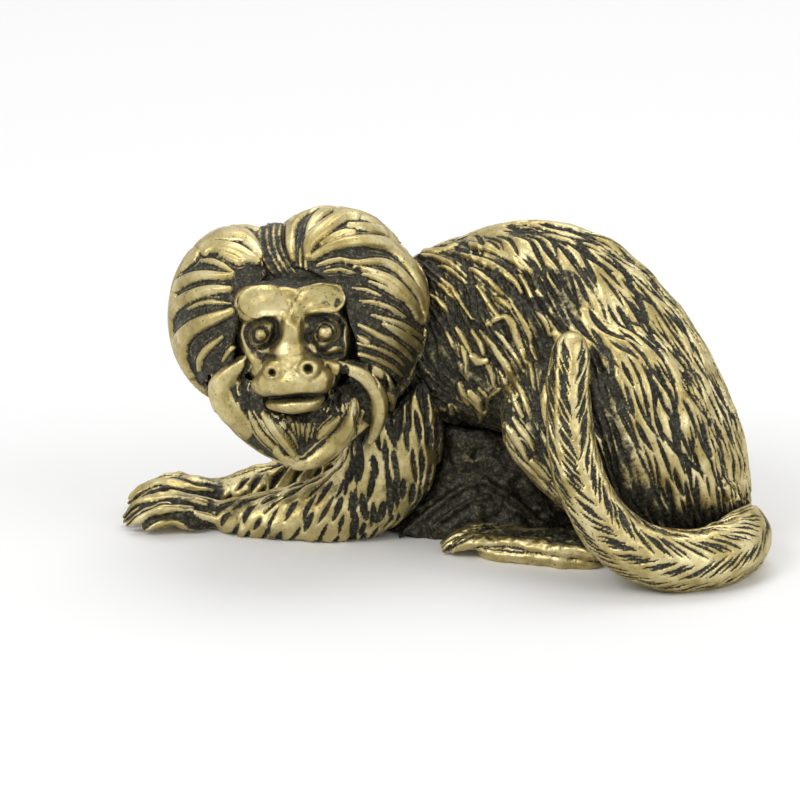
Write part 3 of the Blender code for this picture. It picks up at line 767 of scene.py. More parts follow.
FINGER_LINES = {  # half width and corners in pixels
    "left": traced(
        (4.2, 116, 525, 121, 512, 131, 502, 144, 496, 158, 493, 174, 493, 190, 497, 206, 502),
        (2.4, 118, 509, 126, 499, 138, 491, 152, 487, 168, 486, 184, 489, 200, 493, 218, 498, 236,
         503),
        (4.4, 128, 532, 136, 521, 148, 514, 162, 510, 176, 508, 192, 508),
        (4.2, 146, 535, 154, 526, 166, 522, 178, 524, 186, 532),
        (4.0, 196, 512, 206, 516, 218, 522, 222, 532)),
    "right": traced(
        (3.0, 121, 500, 128, 488, 140, 478, 155, 471, 172, 470, 188, 475, 204, 480, 220, 482),
        (3.0, 121, 508, 129, 496, 141, 486, 157, 480, 175, 481, 192, 486, 212, 490),
        (3.0, 205, 481, 225, 482, 245, 477, 262, 470, 275, 464))}

# %% Arms with hands
def make_arm(side):
    """An arm with its hand: short grooves on the forearm, longer ones on the upper arm."""
    wrist_x = WRISTS[side][0]
    bm = cad_copy(side + "_arm", swell=0.16)
    hand = cad_copy(side + "_hand", swell=-0.06)
    skin = BVHTree.FromBMesh(hand)
    add_to(bm, hand)
    add_ball(bm, WRISTS[side], (1.3, 1.5, 0.9))
    fingers = [drawn_lock(corners, radius, skin, (0.1, 0.5), -0.12)
               for corners, radius in FINGERS[side]]
    add_to(bm, lock_tubes([finger for finger in fingers if finger]))
    arm = blank(side + "_arm_with_hand", bm, voxel=0.13, rubs=4)
    places, _ = read_points(arm)
    upper = smoothstep(wrist_x - 1.6, wrist_x + 0.8, places[:, 0])
    places += (relaxed(places, edges_of(arm), 90) - places) * upper[:, None]
    write_points(arm, places)
    places, normals = read_points(arm)
    on_forearm = smoothstep(5.5, 3.0, places[:, 2])
    on_forearm *= smoothstep(ELBOW_X - 2, ELBOW_X - 4, places[:, 0])
    wish = np.stack([0.1 - 0.5 * on_forearm, np.zeros(len(places)), -np.ones(len(places))], axis=1)
    wish[:, 0] += 0.18 * (1 - on_forearm) * lumps(places, 3.0, 11)
    hair = comb(normals, wish)
    clear = places[:, 0] > wrist_x + 0.6
    short, short_cuts = furrows(places, normals, hair, (0.55, 1.3), (2.0, 0.21, 0.26), 5000, 12,
                                clear & (on_forearm >= 0.5))
    long, long_cuts = furrows(places, normals, hair, (0.46, 1.7), (2.5, 0.27, 0.34), 6500, 14,
                              clear & (on_forearm < 0.5))
    hollow = np.maximum(short_cuts, long_cuts)
    PRESSED[arm] = hollow
    on_hand = smoothstep(wrist_x + 1.0, wrist_x - 0.5, places[:, 0]) * facing(normals, 0.0, 0.25)
    rise, crest = traced_relief(picture_of(places), FINGER_LINES[side], grow=1.0)
    STAINED_AND_SHADED[arm] = on_hand * smoothstep(0.45, 0.1, crest)
    hollow += (0.2 - rise * 0.6) * on_hand
    places += normals * (lumps(places, 1.6, 16) * 0.05)[:, None]
    push_out(arm, places, normals, -hollow)
    say(arm, short + long, "grooves,")
    return arm


left_arm = make_arm("left")
right_arm = make_arm("right")

# %% Feet
TOE_LINES = traced(  # half width and corners in pixels
    (3.2, 442, 549, 446, 539, 452, 532, 463, 526, 475, 522, 486, 519),
    (6.0, 454, 553, 466, 547, 477, 541, 490, 538, 504, 539, 518, 543),
    (7.5, 510, 539, 524, 543, 540, 545, 558, 549, 580, 553, 610, 559),
    (6.5, 456, 555, 480, 557, 510, 560, 540, 562, 570, 565, 600, 568))


def make_foot(side):
    """A foot with a lumpy skin. The one that the camera sees has its toes traced."""
    foot = blank(side + "_sole", cad_copy(side + "_foot", swell=0.04), voxel=0.13, rubs=3)
    places, normals = read_points(foot)
    out = lumps(places, 1.3, 17) * 0.07 + lumps(places, 0.6, 18) * 0.035
    if side == "left":
        seen = facing(normals, 0.0, 0.25)
        rise, crest = traced_relief(picture_of(places), TOE_LINES, grow=1.0)
        out += (rise * 0.7 - 0.25) * seen
        STAINED_AND_SHADED[foot] = seen * smoothstep(0.5, 0.05, crest)
    push_out(foot, places, normals, out)
    say(foot)
    return foot


left_foot = make_foot("left")
right_foot = make_foot("right")

# %% [markdown]
# ## The head and its face
# The face is a bare flat mask that looks a little to its right and up. Its big forms are balls
# that are melted into the skull: mask, brows, bridge, muzzle, nostrils and lower lip. The small
# forms are traced and then pushed out or in along the face's own direction: the brows are
# flattened to plates, and eyes, nostrils and mouth are cut.

# %% The face's own directions
FACE_MIDDLE = Vector((-9.52, -4.92, 14.85))
FACE_TURN, FACE_LIFT, FACE_LEAN = (math.radians(angle) for angle in (5.0, 5.0, 4.0))
face_axes = (Matrix.Rotation(-FACE_TURN, 3, "Z") @ Matrix.Rotation(-FACE_LIFT, 3, "X")
             @ Matrix.Rotation(-FACE_LEAN, 3, "Y") @ Matrix.Diagonal((1.0, -1.0, 1.0)))
FACE_OUT = np.array(face_axes)[:, 1]


def on_face(pixel, out):
    """The place under this spot of the picture, out millimetres before the face's middle."""
    ray = ray_of(pixel)
    reach = (out - (EYE_POINT - np.array(FACE_MIDDLE)) @ FACE_OUT) / (ray @ FACE_OUT)
    return EYE_POINT + ray * reach


# %% Skull and big forms of the face
FACE_FORMS = [  # pixel, how far out, and radii in mm
    ((293, 338), -0.9, (3.85, 2.0, 4.0)), ((294, 342), -2.0, (5.0, 1.55, 5.0)),
    ((264, 300), -0.4, (2.05, 0.6, 1.25)), ((318, 294), -0.4, (1.95, 0.6, 1.1)),
    ((289, 322), 0.1, (1.6, 0.9, 2.5)), ((290, 352), 0.75, (1.35, 1.35, 1.3)),
    ((292, 366), 1.2, (1.95, 1.8, 1.1)), ((291, 383), 1.1, (2.65, 1.75, 1.1)),
    ((272, 371), 2.45, (0.64, 0.7, 0.62)), ((307, 370), 2.45, (0.74, 0.78, 0.7)),
    ((293, 403), 1.2, (1.85, 1.15, 0.55))]
bm = cad_copy("head")
add_ball(bm, (-10.9, 1.2, 17.2), (2.5, 4.5, 4.0))  # the hair in the parting
add_ball(bm, on_face((308, 273), -2.1), (2.7, 1.3, 1.0), face_axes)  # and over the forehead
for pixel, out, radii in FACE_FORMS:
    add_ball(bm, on_face(pixel, out), radii, face_axes)
head = blank("skull_and_face", bm, voxel=0.095, rubs=7)
say(head)

# %% Traced features of the face
MASK = xy(
    234, 294, 246, 287, 270, 285, 296, 290, 320, 284, 340, 286, 347, 300, 350, 325, 348, 345, 343,
    356, 331, 362, 334, 376, 333, 388, 325, 397, 318, 408, 293, 415, 270, 409, 257, 397, 249, 386,
    251, 370, 250, 360, 243, 350, 238, 335, 235, 318, 232, 303)
BROWS = [
    xy(236, 292, 247, 287, 262, 285, 280, 287, 296, 292, 290, 304, 287, 315, 278, 314, 262, 316,
     249, 321, 238, 318, 233, 304),
    xy(300, 292, 308, 287, 325, 285, 338, 288, 344, 296, 341, 305, 335, 309, 322, 308, 309, 309,
     302, 318, 296, 324, 291, 320, 293, 306)]
EYES = (((260.6, 335.0), 1.04, (-0.7, -0.7)),  # middle in pixels, size, and the side where the lid ring is painted lit
        ((325.5, 333.0), 1.14, (0.9, 0.4)))
LID, SOCKET = 0.72, 1.28  # mm, radii of the two raised rings round an eye
NOSTRILS = (((271, 373), 2.8, 9.5), ((307, 369), 4.0, 11.0))  # middle, hole and rim in pixels
MOUTH = xy(259, 400, 270, 399, 281, 398.5, 292, 397, 304, 396, 322, 396)
LOWER_LIP = xy(
    262, 402, 280, 401, 294, 400, 308, 399, 326, 398, 317, 407, 304, 413, 293, 415, 282, 413, 271,
    408)
EYE_SHADOWS = [
    xy(268, 316, 278, 324, 278, 344, 270, 356, 262, 366, 252, 353, 262, 350, 270, 342, 272, 328),
    xy(302, 322, 313, 316, 309, 333, 314, 348, 327, 355, 345, 350, 344, 359, 318, 361, 305, 355,
     301, 340)]
FOLDS = traced(  # between the brows and under the eyes: depth in mm, painted shade and its width
    (0.24, 0.5, 2.6, 306, 285, 299, 293, 293, 303, 287, 315),
    (0.22, 0.8, 3.0, 252, 352, 262, 356, 274, 357),
    (0.25, 0.8, 3.0, 310, 357, 325, 358, 341, 355), sizes=3)
BROW_PLANES = (((264, 300), 0.007), ((318, 297), -0.006))  # middle in pixels, slope across
PARTING = traced(  # strands between the lobes: half width and corners in pixels
    (1.6, 256, 230, 254, 244, 256, 258, 263, 270),
    (1.8, 263, 224, 260, 238, 261, 252, 268, 268, 276, 278),
    (1.7, 269, 222, 267, 236, 269, 250, 275, 264, 283, 277),
    (1.8, 275, 222, 273, 236, 275, 250, 281, 264, 290, 277),
    (1.6, 281, 222, 279, 234, 280, 248, 286, 262, 296, 276))

# %% Brows and eye sockets
places, normals = read_points(head)
pixels = picture_of(places)
height = (places - np.array(FACE_MIDDLE)) @ FACE_OUT
front = smoothstep(-2.6, -1.2, height) * (normals @ FACE_OUT > -0.3)
out = np.zeros(len(places))  # mm, how far each point moves out of the face
dark = filled(pixels, MASK, 0.5, -2.5)  # how dark each point is made, from 0 to 1: patina, with painted shade in the eye shadows, the folds and the lids
out -= 0.4 * filled(pixels, MASK, 0.0, -7.0)
for outline, ((across, down), slope) in zip(BROWS, BROW_PLANES):
    plate = 0.66 + (pixels[:, 0] - across) * slope + (pixels[:, 1] - down) * 0.006
    out += (plate - height) * 0.85 * filled(pixels, outline, -3.0, 2.0)
for outline in EYE_SHADOWS:
    deep = filled(pixels, outline, -3.5, 4.0)
    out -= 0.35 * deep
    # painted shade in the eye shadows
    dark = np.maximum(dark, 0.9 * deep)

# %% Eyes
for middle, size, lit_side in EYES:
    away = (pixels - middle) / PIXELS_PER_MM / size
    far = np.linalg.norm(away, axis=1)
    toward = away @ lit_side / np.maximum(far, 0.1)
    far *= 1 + 0.12 * lumps(places, 1.3, 52)
    out -= 0.5 * bell(far, 0, 1.2, 4)
    out += 0.6 * np.sqrt(np.clip(1 - (far / 0.82) ** 2, 0, 1))
    out += 0.1 * bell(far, LID, 0.1) - 0.14 * bell(far, 0.46, 0.12)
    out += 0.14 * bell(far, SOCKET, 0.17)
    dark *= smoothstep(0.0, 0.3, np.abs(far - SOCKET))
    # The lid ring is painted dark, and lighter on the side that faces the light: painted light.
    for ring in (bell(far, 0.97, 0.2, 4) * 0.95, bell(far, 0.48, 0.13, 4) * 0.85,
                 bell(far, LID, 0.14) * (0.6 - 0.35 * toward)):
        dark = np.maximum(dark, ring)

# %% Nostrils, mouth and small folds
for (across, down), hole, rim in NOSTRILS:
    far = np.hypot(pixels[:, 0] - across, (pixels[:, 1] - down) * 1.05)
    out -= 0.8 * bell(far, 0, hole, 4)
    out -= 0.1 * bell(far - rim, 1.5, 2.2)
    dark = np.maximum(dark, bell(far, 0, hole + 0.5, 6))
    dark = np.maximum(dark, 0.35 * bell(far - rim, 1.5, 1.8))
far = beside(pixels, eased(MOUTH))[0]
out -= 0.6 * bell(far, 0, 2.2)
dark = np.maximum(dark, bell(far, 0, 2.6, 4))
out += 0.22 * filled(pixels, LOWER_LIP, -1.0, 3.0)
for corners, depth, painted_shade, reach in FOLDS:
    far = beside(pixels, eased(corners))[0]
    out -= depth * bell(far, 0, 3.0)
    # painted shade along the fold
    dark = np.maximum(dark, painted_shade * bell(far, 0, reach))
out += 0.04 * lumps(places, 1.1, 51) + 0.018 * lumps(places, 0.45, 53)

# %% The parting, and moving the points
rise, crest = traced_relief(pixels, PARTING)
parting = smoothstep(281, 272, pixels[:, 1]) * facing(normals, 0.0, 0.3)
out = relaxed(out, edges_of(head), 7)
places = places + FACE_OUT * (out * front)[:, None] + normals * (rise * parting)[:, None]
write_points(head, relaxed(places, edges_of(head), 3))
STAINED_AND_SHADED[head] = np.maximum(dark, 1 - front) * (1 - 0.6 * crest * parting)

# %% [markdown]
# ## The mane
# The mane is a fan of thick locks. They start at the parting above the brow, run over a rounded
# lobe and come together again behind the cheek, as the segments of an orange do. The locks that
# the photograph shows are traced; those of the sides, the back and the nape follow such a fan.

# %% Helper that fans locks over an ellipsoid
def fan_relief(unit, start, finish, count, warp):
    """(rise in mm, crest) of locks that run over a unit sphere from one spot to another."""
    start, finish = units(np.array((start, finish)))
    chord = (finish - start) / np.linalg.norm(finish - start)
    upright = np.cross(chord, start)
    upright /= np.linalg.norm(upright)
    level = np.cross(upright, chord)
    gap = unit - start
    swing = np.arctan2(gap @ upright, gap @ level) * count
    lock = np.cos(swing + warp[0])
    strand = np.cos(swing * 3 + warp[1])
    form = smoothstep(-0.8, 0.3, lock)
    rise = 0.34 * form + 0.035 * strand
    return rise, form - 0.3 * (strand < -0.8)


# %% Balls and traced locks of the mane
SKULL = np.array((-9.52, 0.88, 14.0))
LEFT_LOBE = (SKULL + (2.6, 0.2, 1.15), np.array((6.4, 7.2, 7.45)))
RIGHT_LOBE = (SKULL + (-3.8, 0.2, 1.1), np.array((4.9, 6.8, 6.1)))
NAPE = (SKULL + (0.8, 3.2, 0.2), np.array((6.8, 5.2, 6.5)))
LOCK_ROOM = 0.5  # mm, left inside the ball for the locks

LEFT_LOCKS = traced(  # the lobe on the picture's right: half width and corners in pixels
    (2.4, 282, 260, 279, 247, 280, 236, 284, 226, 291, 215, 300, 209, 311, 205),
    (4.6, 294, 260, 291, 249, 291, 238, 292, 228, 296, 221, 303, 214, 313, 208),
    (4.0, 308, 238, 311, 228, 317, 219, 325, 213, 334, 210), (1.3, 302, 274, 301, 262, 301, 250),
    (1.1, 307, 274, 306, 262, 306, 250),
    (7.0, 309, 258, 309, 249, 312, 242, 318, 235, 326, 229, 335, 222, 345, 217, 356, 218),
    (4.6, 322, 246, 334, 239, 345, 235, 353, 235),
    (2.7, 334, 214, 350, 215, 365, 219, 376, 223, 386, 231, 395, 239),
    (3.6, 348, 227, 365, 228, 378, 231, 389, 237, 399, 245),
    (6.0, 314, 259, 322, 252, 332, 247, 345, 244, 358, 242, 371, 242, 384, 244, 394, 249, 402, 256,
     409, 265, 416, 275, 421, 286, 424, 298, 424, 310, 421, 321),
    (3.4, 346, 262, 358, 264, 368, 262, 379, 262, 389, 265, 399, 272, 406, 281, 414, 289, 419, 299,
     421, 310),
    (3.4, 354, 268, 368, 271, 379, 275, 389, 279, 398, 286, 406, 295, 413, 305, 418, 314, 419, 321),
    (3.0, 363, 275, 375, 278, 386, 283, 396, 291, 405, 300, 412, 309, 416, 319),
    (2.0, 369, 282, 379, 286, 391, 292, 399, 298, 406, 304),
    (2.2, 359, 301, 371, 302, 382, 305, 391, 309, 403, 317),
    (2.8, 372, 315, 380, 318, 390, 321, 401, 325, 411, 331, 420, 337),
    (4.2, 383, 324, 394, 330, 402, 335, 411, 341, 417, 347, 423, 353),
    (3.2, 359, 325, 371, 331, 379, 336, 388, 340, 396, 345, 404, 351, 410, 359),
    (3.0, 357, 336, 362, 339, 368, 342), (2.0, 357, 343, 371, 346, 382, 350, 394, 356, 402, 364),
    (2.3, 352, 351, 368, 356, 379, 360, 391, 366, 400, 374),
    (2.0, 318, 266, 328, 262, 340, 260, 352, 262), (1.8, 325, 272, 340, 270, 355, 274),
    (1.6, 352, 288, 366, 290, 380, 296))
RIGHT_LOCKS = traced(  # the lobe on the picture's left
    (4.6, 246, 229, 231, 229, 217, 231, 206, 236, 196, 243, 190, 250, 185, 259),
    (6.4, 260, 259, 253, 246, 244, 237, 231, 236, 220, 237, 211, 241, 203, 249),
    (6.0, 257, 263, 246, 257, 237, 252, 226, 249, 214, 248, 206, 254),
    (3.4, 247, 261, 239, 263, 231, 259, 221, 255), (2.6, 234, 274, 224, 267, 214, 262, 203, 262),
    (5.0, 199, 252, 194, 258, 188, 263, 183, 270),
    (4.8, 232, 277, 220, 277, 208, 276, 197, 277, 187, 281, 179, 286, 174, 294, 170, 305),
    (5.4, 230, 290, 218, 290, 208, 291, 198, 294, 190, 297, 183, 301, 177, 308, 172, 316),
    (6.4, 176, 296, 173, 309, 170, 322), (2.0, 231, 304, 220, 303, 210, 302, 200, 304, 190, 309),
    (7.6, 231, 312, 221, 316, 210, 320, 200, 324, 191, 330, 184, 337, 181, 347, 183, 358, 187, 368,
     192, 376),
    (3.4, 222, 337, 213, 344, 206, 350, 201, 358, 201, 368),
    (6.0, 168, 322, 168, 334, 170, 349, 174, 363, 181, 373, 188, 378),
    (1.8, 236, 344, 229, 351, 223, 360), (2.2, 262, 266, 259, 252, 253, 240, 246, 232))

# %% Lobes of the mane
def make_lobe(name, node, ball, drawn, fan_ends, count, seed, flats=(), rim=(0.74, 0.84, 0.0),
              soft=0):
    """A lobe of the mane: its outer skin is drawn onto the ball, and count locks are raised on it.

    Locks that the camera sees are those of drawn. Each flat takes some of the ball away round a
    pixel. The rim says from which share of the ball's radius, and from which turn away from its
    surface, a point belongs to the outer skin, and soft relaxes that over its neighbours.
    """
    centre, radii = ball
    lobe = blank(name, cad_copy(node, swell=-0.1), voxel=0.105, rubs=5)
    places, normals = read_points(lobe)
    spread = (places - centre) / radii
    far = np.linalg.norm(spread, axis=1)
    outward = units(spread / radii)
    outer = smoothstep(rim[0], rim[1], far)
    outer *= smoothstep(rim[2], rim[2] + 0.35, np.sum(normals * outward, axis=1))
    outer = relaxed(outer, edges_of(lobe), soft)
    target = centre + spread / far[:, None] * (radii - LOCK_ROOM)
    for (across, down), reach, depth in flats:
        away = picture_of(places) - (across, down)
        flat = np.exp(-np.sum(away ** 2, axis=1) / reach ** 2) * (normals @ LOOK_BACK > -0.5)
        target -= outward * (flat * depth)[:, None]
    places += (target - places) * outer[:, None]
    places = relaxed(places, edges_of(lobe), 12 + soft)
    write_points(lobe, places)
    places, normals = read_points(lobe)
    unit = units((places - centre) / radii)
    warp = (1.3 * lumps(places, 4.5, seed), 2.5 * lumps(places, 3.0, seed + 10))
    fan, crest = fan_relief(unit, *fan_ends, count, warp)
    if drawn:
        seen = facing(normals, 0.1, 0.28)
        rise, drawn_crest = traced_relief(picture_of(places), drawn)
        fan += (rise - fan) * seen
        crest += (drawn_crest - crest) * seen
    fan *= outer
    push_out(lobe, places, normals, fan)
    STAINED_AND_SHADED[lobe] = smoothstep(0.65, 0.1, crest * outer)
    say(lobe, count + len(drawn), "locks,")
    return lobe


left_mane = make_lobe("left_mane", "mane_left_lobe", LEFT_LOBE, LEFT_LOCKS,
                      ((-0.62, -0.62, 0.45), (0.55, -0.35, -0.75)), count=30, seed=41,
                      flats=[((404, 236), 30, 0.6), ((350, 207), 22, 0.2)])
right_mane = make_lobe("right_mane", "mane_right_lobe", RIGHT_LOBE, RIGHT_LOCKS,
                       ((0.62, -0.62, 0.5), (-0.35, -0.35, -0.85)), count=26, seed=42)
nape_mane = make_lobe("nape_mane", "mane_nape", NAPE, [], ((0.0, 0.35, 1.0), (0.05, 0.45, -1.0)),
                      count=20, seed=43, rim=(0.88, 0.94, 0.25), soft=24)

# %% [markdown]
# ## The beard
# The beard is a wide collar under the mouth. Thick rims start beside the muzzle and run down its
# two sides; they are tubes melted into the collar. Its lower edge is a bright V of traced locks,
# and between them the hair lies deep and stays dark.

# %% Traced rims and locks of the beard
BEARD_RIMS = traced(  # radius in mm, how proud in mm, and corners in pixels
    (0.78, 0.25, 257, 357, 246, 363, 235, 369, 226, 377, 219, 385, 218, 394, 221, 402, 226, 411,
     232, 420, 240, 431),
    (0.6, 0.25, 322, 367, 334, 368, 348, 369, 359, 373, 368, 380, 375, 389, 380, 400, 381, 410, 379,
     421, 375, 432, 370, 443),
    (0.32, 0.15, 343, 363, 358, 363, 372, 367, 384, 375, 391, 387, 394, 400, 390, 416), sizes=2)
BEARD_LOCKS = traced(  # half width and corners in pixels
    (6.2, 276, 451, 285, 459, 293, 465, 301, 468, 310, 466, 319, 461, 329, 454, 338, 446, 346, 437,
     352, 426, 357, 412, 356, 400),
    (3.6, 231, 402, 232, 411, 236, 421),
    (2.5, 246, 409, 252, 420, 257, 431, 264, 440, 274, 448, 284, 456, 294, 465),
    (4.4, 263, 414, 268, 422, 275, 431, 282, 440, 289, 449, 297, 459),
    (1.6, 276, 419, 281, 427, 288, 436), (4.2, 320, 442, 328, 436, 334, 430, 340, 423),
    (2.2, 346, 417, 343, 405, 344, 394), (2.2, 359, 418, 357, 406, 355, 397),
    (2.0, 367, 416, 365, 430, 360, 441, 354, 452), (1.8, 284, 414, 290, 424, 293, 436),
    (1.8, 296, 417, 297, 430, 299, 442), (1.9, 309, 417, 310, 430, 307, 446),
    (1.8, 333, 398, 332, 408, 327, 419), (2.0, 246, 378, 241, 388, 243, 398))
V_HOLLOW = xy(
    262, 404, 275, 410, 293, 416, 310, 412, 326, 398, 336, 378, 352, 376, 368, 384, 376, 400, 374,
    420, 362, 446, 352, 420, 338, 446, 308, 460, 296, 452, 280, 432)

# %% Beard
def walls_of(pieces, extra=None):
    """A tree of the pieces' skins that rays can be cast at."""
    whole = bmesh.new()
    for piece in pieces:
        whole.from_mesh(piece.data)
    if extra:
        add_to(whole, extra)
    tree = BVHTree.FromBMesh(whole)
    whole.free()
    return tree


seen_skin = walls_of((head, left_mane, right_mane), cad_copy("chin_ruff", swell=0.1))
base = cad_copy("chin_ruff", swell=-0.1)
rims = [taut_lock(corners, radius, seen_skin, proud) for corners, radius, proud in BEARD_RIMS]
add_to(base, lock_tubes(rims))
beard = blank("beard", base, voxel=0.105, rubs=4)
places, normals = read_points(beard)
pixels = picture_of(places)
seen = facing(normals, 0.05, 0.25)
rim_far = np.min([beside(pixels, eased(corners))[0] / (radius * PIXELS_PER_MM)
                  for corners, radius, _ in BEARD_RIMS], axis=0)
on_rim = smoothstep(1.15, 0.85, rim_far)
hollow = filled(pixels, V_HOLLOW, -2.0, 5.0) * (1 - on_rim)
rise, crest = traced_relief(pixels, BEARD_LOCKS)
out = (rise * (1 - on_rim) - 0.45 * hollow - 0.18 * (1 - on_rim)) * seen
hair = comb(normals, np.array((-0.1, 0.0, -1.0)))
_, cut = furrows(places, normals, hair, (0.55, 1.6), (2.4, 0.26, 0.3), 4000, 45, seen < 0.3)
push_out(beard, places, normals, out - cut)
STAINED_AND_SHADED[beard] = np.maximum(seen * (1 - np.maximum(smoothstep(0.05, 0.4, crest), on_rim)),
                            smoothstep(0.05, 0.15, cut))
say(beard, len(BEARD_RIMS) + len(BEARD_LOCKS), "locks,")

# %% [markdown]
# ## Where the patina stays and shade is painted
# The dark patina is rubbed off every place that a cloth would reach. These measures say which
# places those are: how deep a point lies below its smoothed surroundings, how much of the sky it
# sees past its neighbours, how deep the tool went, and where a traced form keeps it. Shade is also
# painted into some traced hollows of the body and the face. Soft random patches are added, and all
# of it is stored on the points as one number for patina and painted shade.

# %% Keeping every piece inside the CAD box
PIECES = [body, left_arm, right_arm, left_foot, right_foot, tail, web, head, left_mane,
          right_mane, nape_mane, beard]


def keep_in_box(piece):
    places, _ = read_points(piece)
    write_points(piece, np.clip(places, np.array(CAD_LOW) / MM, np.array(CAD_HIGH) / MM))


for piece in PIECES:
    keep_in_box(piece)

# %% Depth and openness
SPOTS_PER_PIECE = 1500  # points that look for walls; the others take the nearest one's share
RAYS_PER_SPOT = 26
REACH = 4.5  # mm, walls farther away than this don't keep a cloth off
CLEARANCE = 0.35  # mm, how far above the skin a ray starts


def cavity(places, normals, ends, rounds):
    """How far each point lies below the relaxed skin, in mm."""
    return np.sum((relaxed(places, ends, rounds) - places) * normals, axis=1)


def openness(places, normals, walls, seed):
    """The share of the sky that is free over each point, from a sample of them."""
    rng = np.random.default_rng(seed)
    picked = rng.permutation(len(places))[:SPOTS_PER_PIECE]
    rays = units(rng.normal(size=(RAYS_PER_SPOT, 3)))
    seen = np.empty(len(picked))
    for at, index in enumerate(picked):
        start = Vector(places[index] + normals[index] * CLEARANCE) * MM
        free = total = 0.0
        for ray in rays:
            rise = float(ray @ normals[index])
            if rise < 0.15:
                continue
            total += rise
            if walls.ray_cast(start, Vector(ray), REACH * MM)[0] is None:
                free += rise
        seen[at] = free / total if total else 1.0
    tree = tree_of(places[picked])
    return seen[[tree.find(place)[1] for place in places]]


# %% Patina and painted shade of each piece
MOTTLED = {body: 0.3, left_arm: 0.5, right_arm: 0.5}  # how strong the patches are
MOTTLED_ELSEWHERE = 0.12
walls = walls_of(PIECES)
for order, piece in enumerate(PIECES):
    places, normals = read_points(piece)
    ends = edges_of(piece)
    fine = cavity(places, normals, ends, 8)
    broad = cavity(places, normals, ends, 60)
    open_sky = relaxed(openness(places, normals, walls, order), ends, 25)
    patina_and_shade = smoothstep(-0.005, 0.05, fine) * 0.75 + smoothstep(0.0, 0.25, broad) * 0.5
    patina_and_shade += smoothstep(0.62, 0.25, open_sky) * 0.9
    if piece in PRESSED:
        patina_and_shade = np.maximum(patina_and_shade, smoothstep(0.04, 0.16, PRESSED[piece]))
    if piece in STAINED_AND_SHADED:
        patina_and_shade = np.maximum(patina_and_shade * (1.0 if piece in PRESSED else 0.8), STAINED_AND_SHADED[piece])
    if piece is body:
        patina_and_shade += 0.3 * STAINED_AND_SHADED[body]
    patches = smoothstep(-0.1, 1.3, lumps(places, 2.6, 60))
    patina_and_shade += MOTTLED.get(piece, MOTTLED_ELSEWHERE) * patches
    # The web is dark all over: patina under the belly, and the painted shade of that hollow.
    if piece is web:
        patina_and_shade += 0.8
    layer = piece.data.attributes.new("patina_and_shade", "FLOAT", "POINT")
    layer.data.foreach_set("value", np.clip(patina_and_shade, 0.0, 1.4))
print("patina stored on", len(PIECES), "pieces")

# %% [markdown]
# ## Fewer triangles
# The body's skin has twice the triangles that a piece may have. A Decimate modifier joins them
# where the skin is nearly flat, keeps the edges of the grooves, and carries the patina and painted
# shade along.

# %% Fewer triangles in the body
MOST_TRIANGLES = 196000  # the most triangles that the body keeps; a little under the 200,000 that a piece may have
thin = body.modifiers.new("thin", "DECIMATE")
thin.ratio = MOST_TRIANGLES / triangles_in(body)
apply_all(body)
keep_in_box(body)
say(body, len(body.data.attributes["patina_and_shade"].data), "points with patina,")

# %% [markdown]
# ## The material: antiqued cast brass
# Brass is a metal, so all its colour is in what it reflects. The rubbed places are warm and fairly
# glossy, with the small pits of a fine casting. The patina is taken for a thin dark film: less
# metallic, rougher, nearly black, with pale grey-green flecks painted on it as glints.

# %% Colour and node helpers
def linear(code):
    """An sRGB hex colour as linear RGBA."""
    parts = [int(code[at:at + 2], 16) / 255 for at in (1, 3, 5)]
    return (*[part / 12.92 if part <= 0.04045 else ((part + 0.055) / 1.055) ** 2.4
              for part in parts], 1.0)


def add_node(tree, kind, settings=None, inputs=None):
    """Adds a node, sets its settings, and fills its inputs with values or with other sockets."""
    node = tree.nodes.new(kind)
    for name, value in (settings or {}).items():
        setattr(node, name, value)
    for name, value in (inputs or {}).items():
        if isinstance(value, bpy.types.NodeSocket):
            tree.links.new(value, node.inputs[name])
        else:
            node.inputs[name].default_value = value
    return node


def ramp(tree, factor, stops):
    """A colour that follows the factor through (position, hex colour) stops."""
    node = add_node(tree, "ShaderNodeValToRGB", inputs={"Fac": factor})
    while len(node.color_ramp.elements) < len(stops):
        node.color_ramp.elements.new(0.5)
    for element, (at, colour) in zip(node.color_ramp.elements, stops):
        element.position = at
        element.color = linear(colour)
    return node.outputs["Color"]


def fitted(tree, value, low, high, kind, settings=None):
    """The value on a new scale: low and high are its old ends for From, its new ones for To."""
    return add_node(tree, "ShaderNodeMapRange", settings, {
        "Value": value, kind + " Min": low, kind + " Max": high}).outputs["Result"]


# %% Antiqued cast brass
SOFT = {"interpolation_type": "SMOOTHSTEP"}


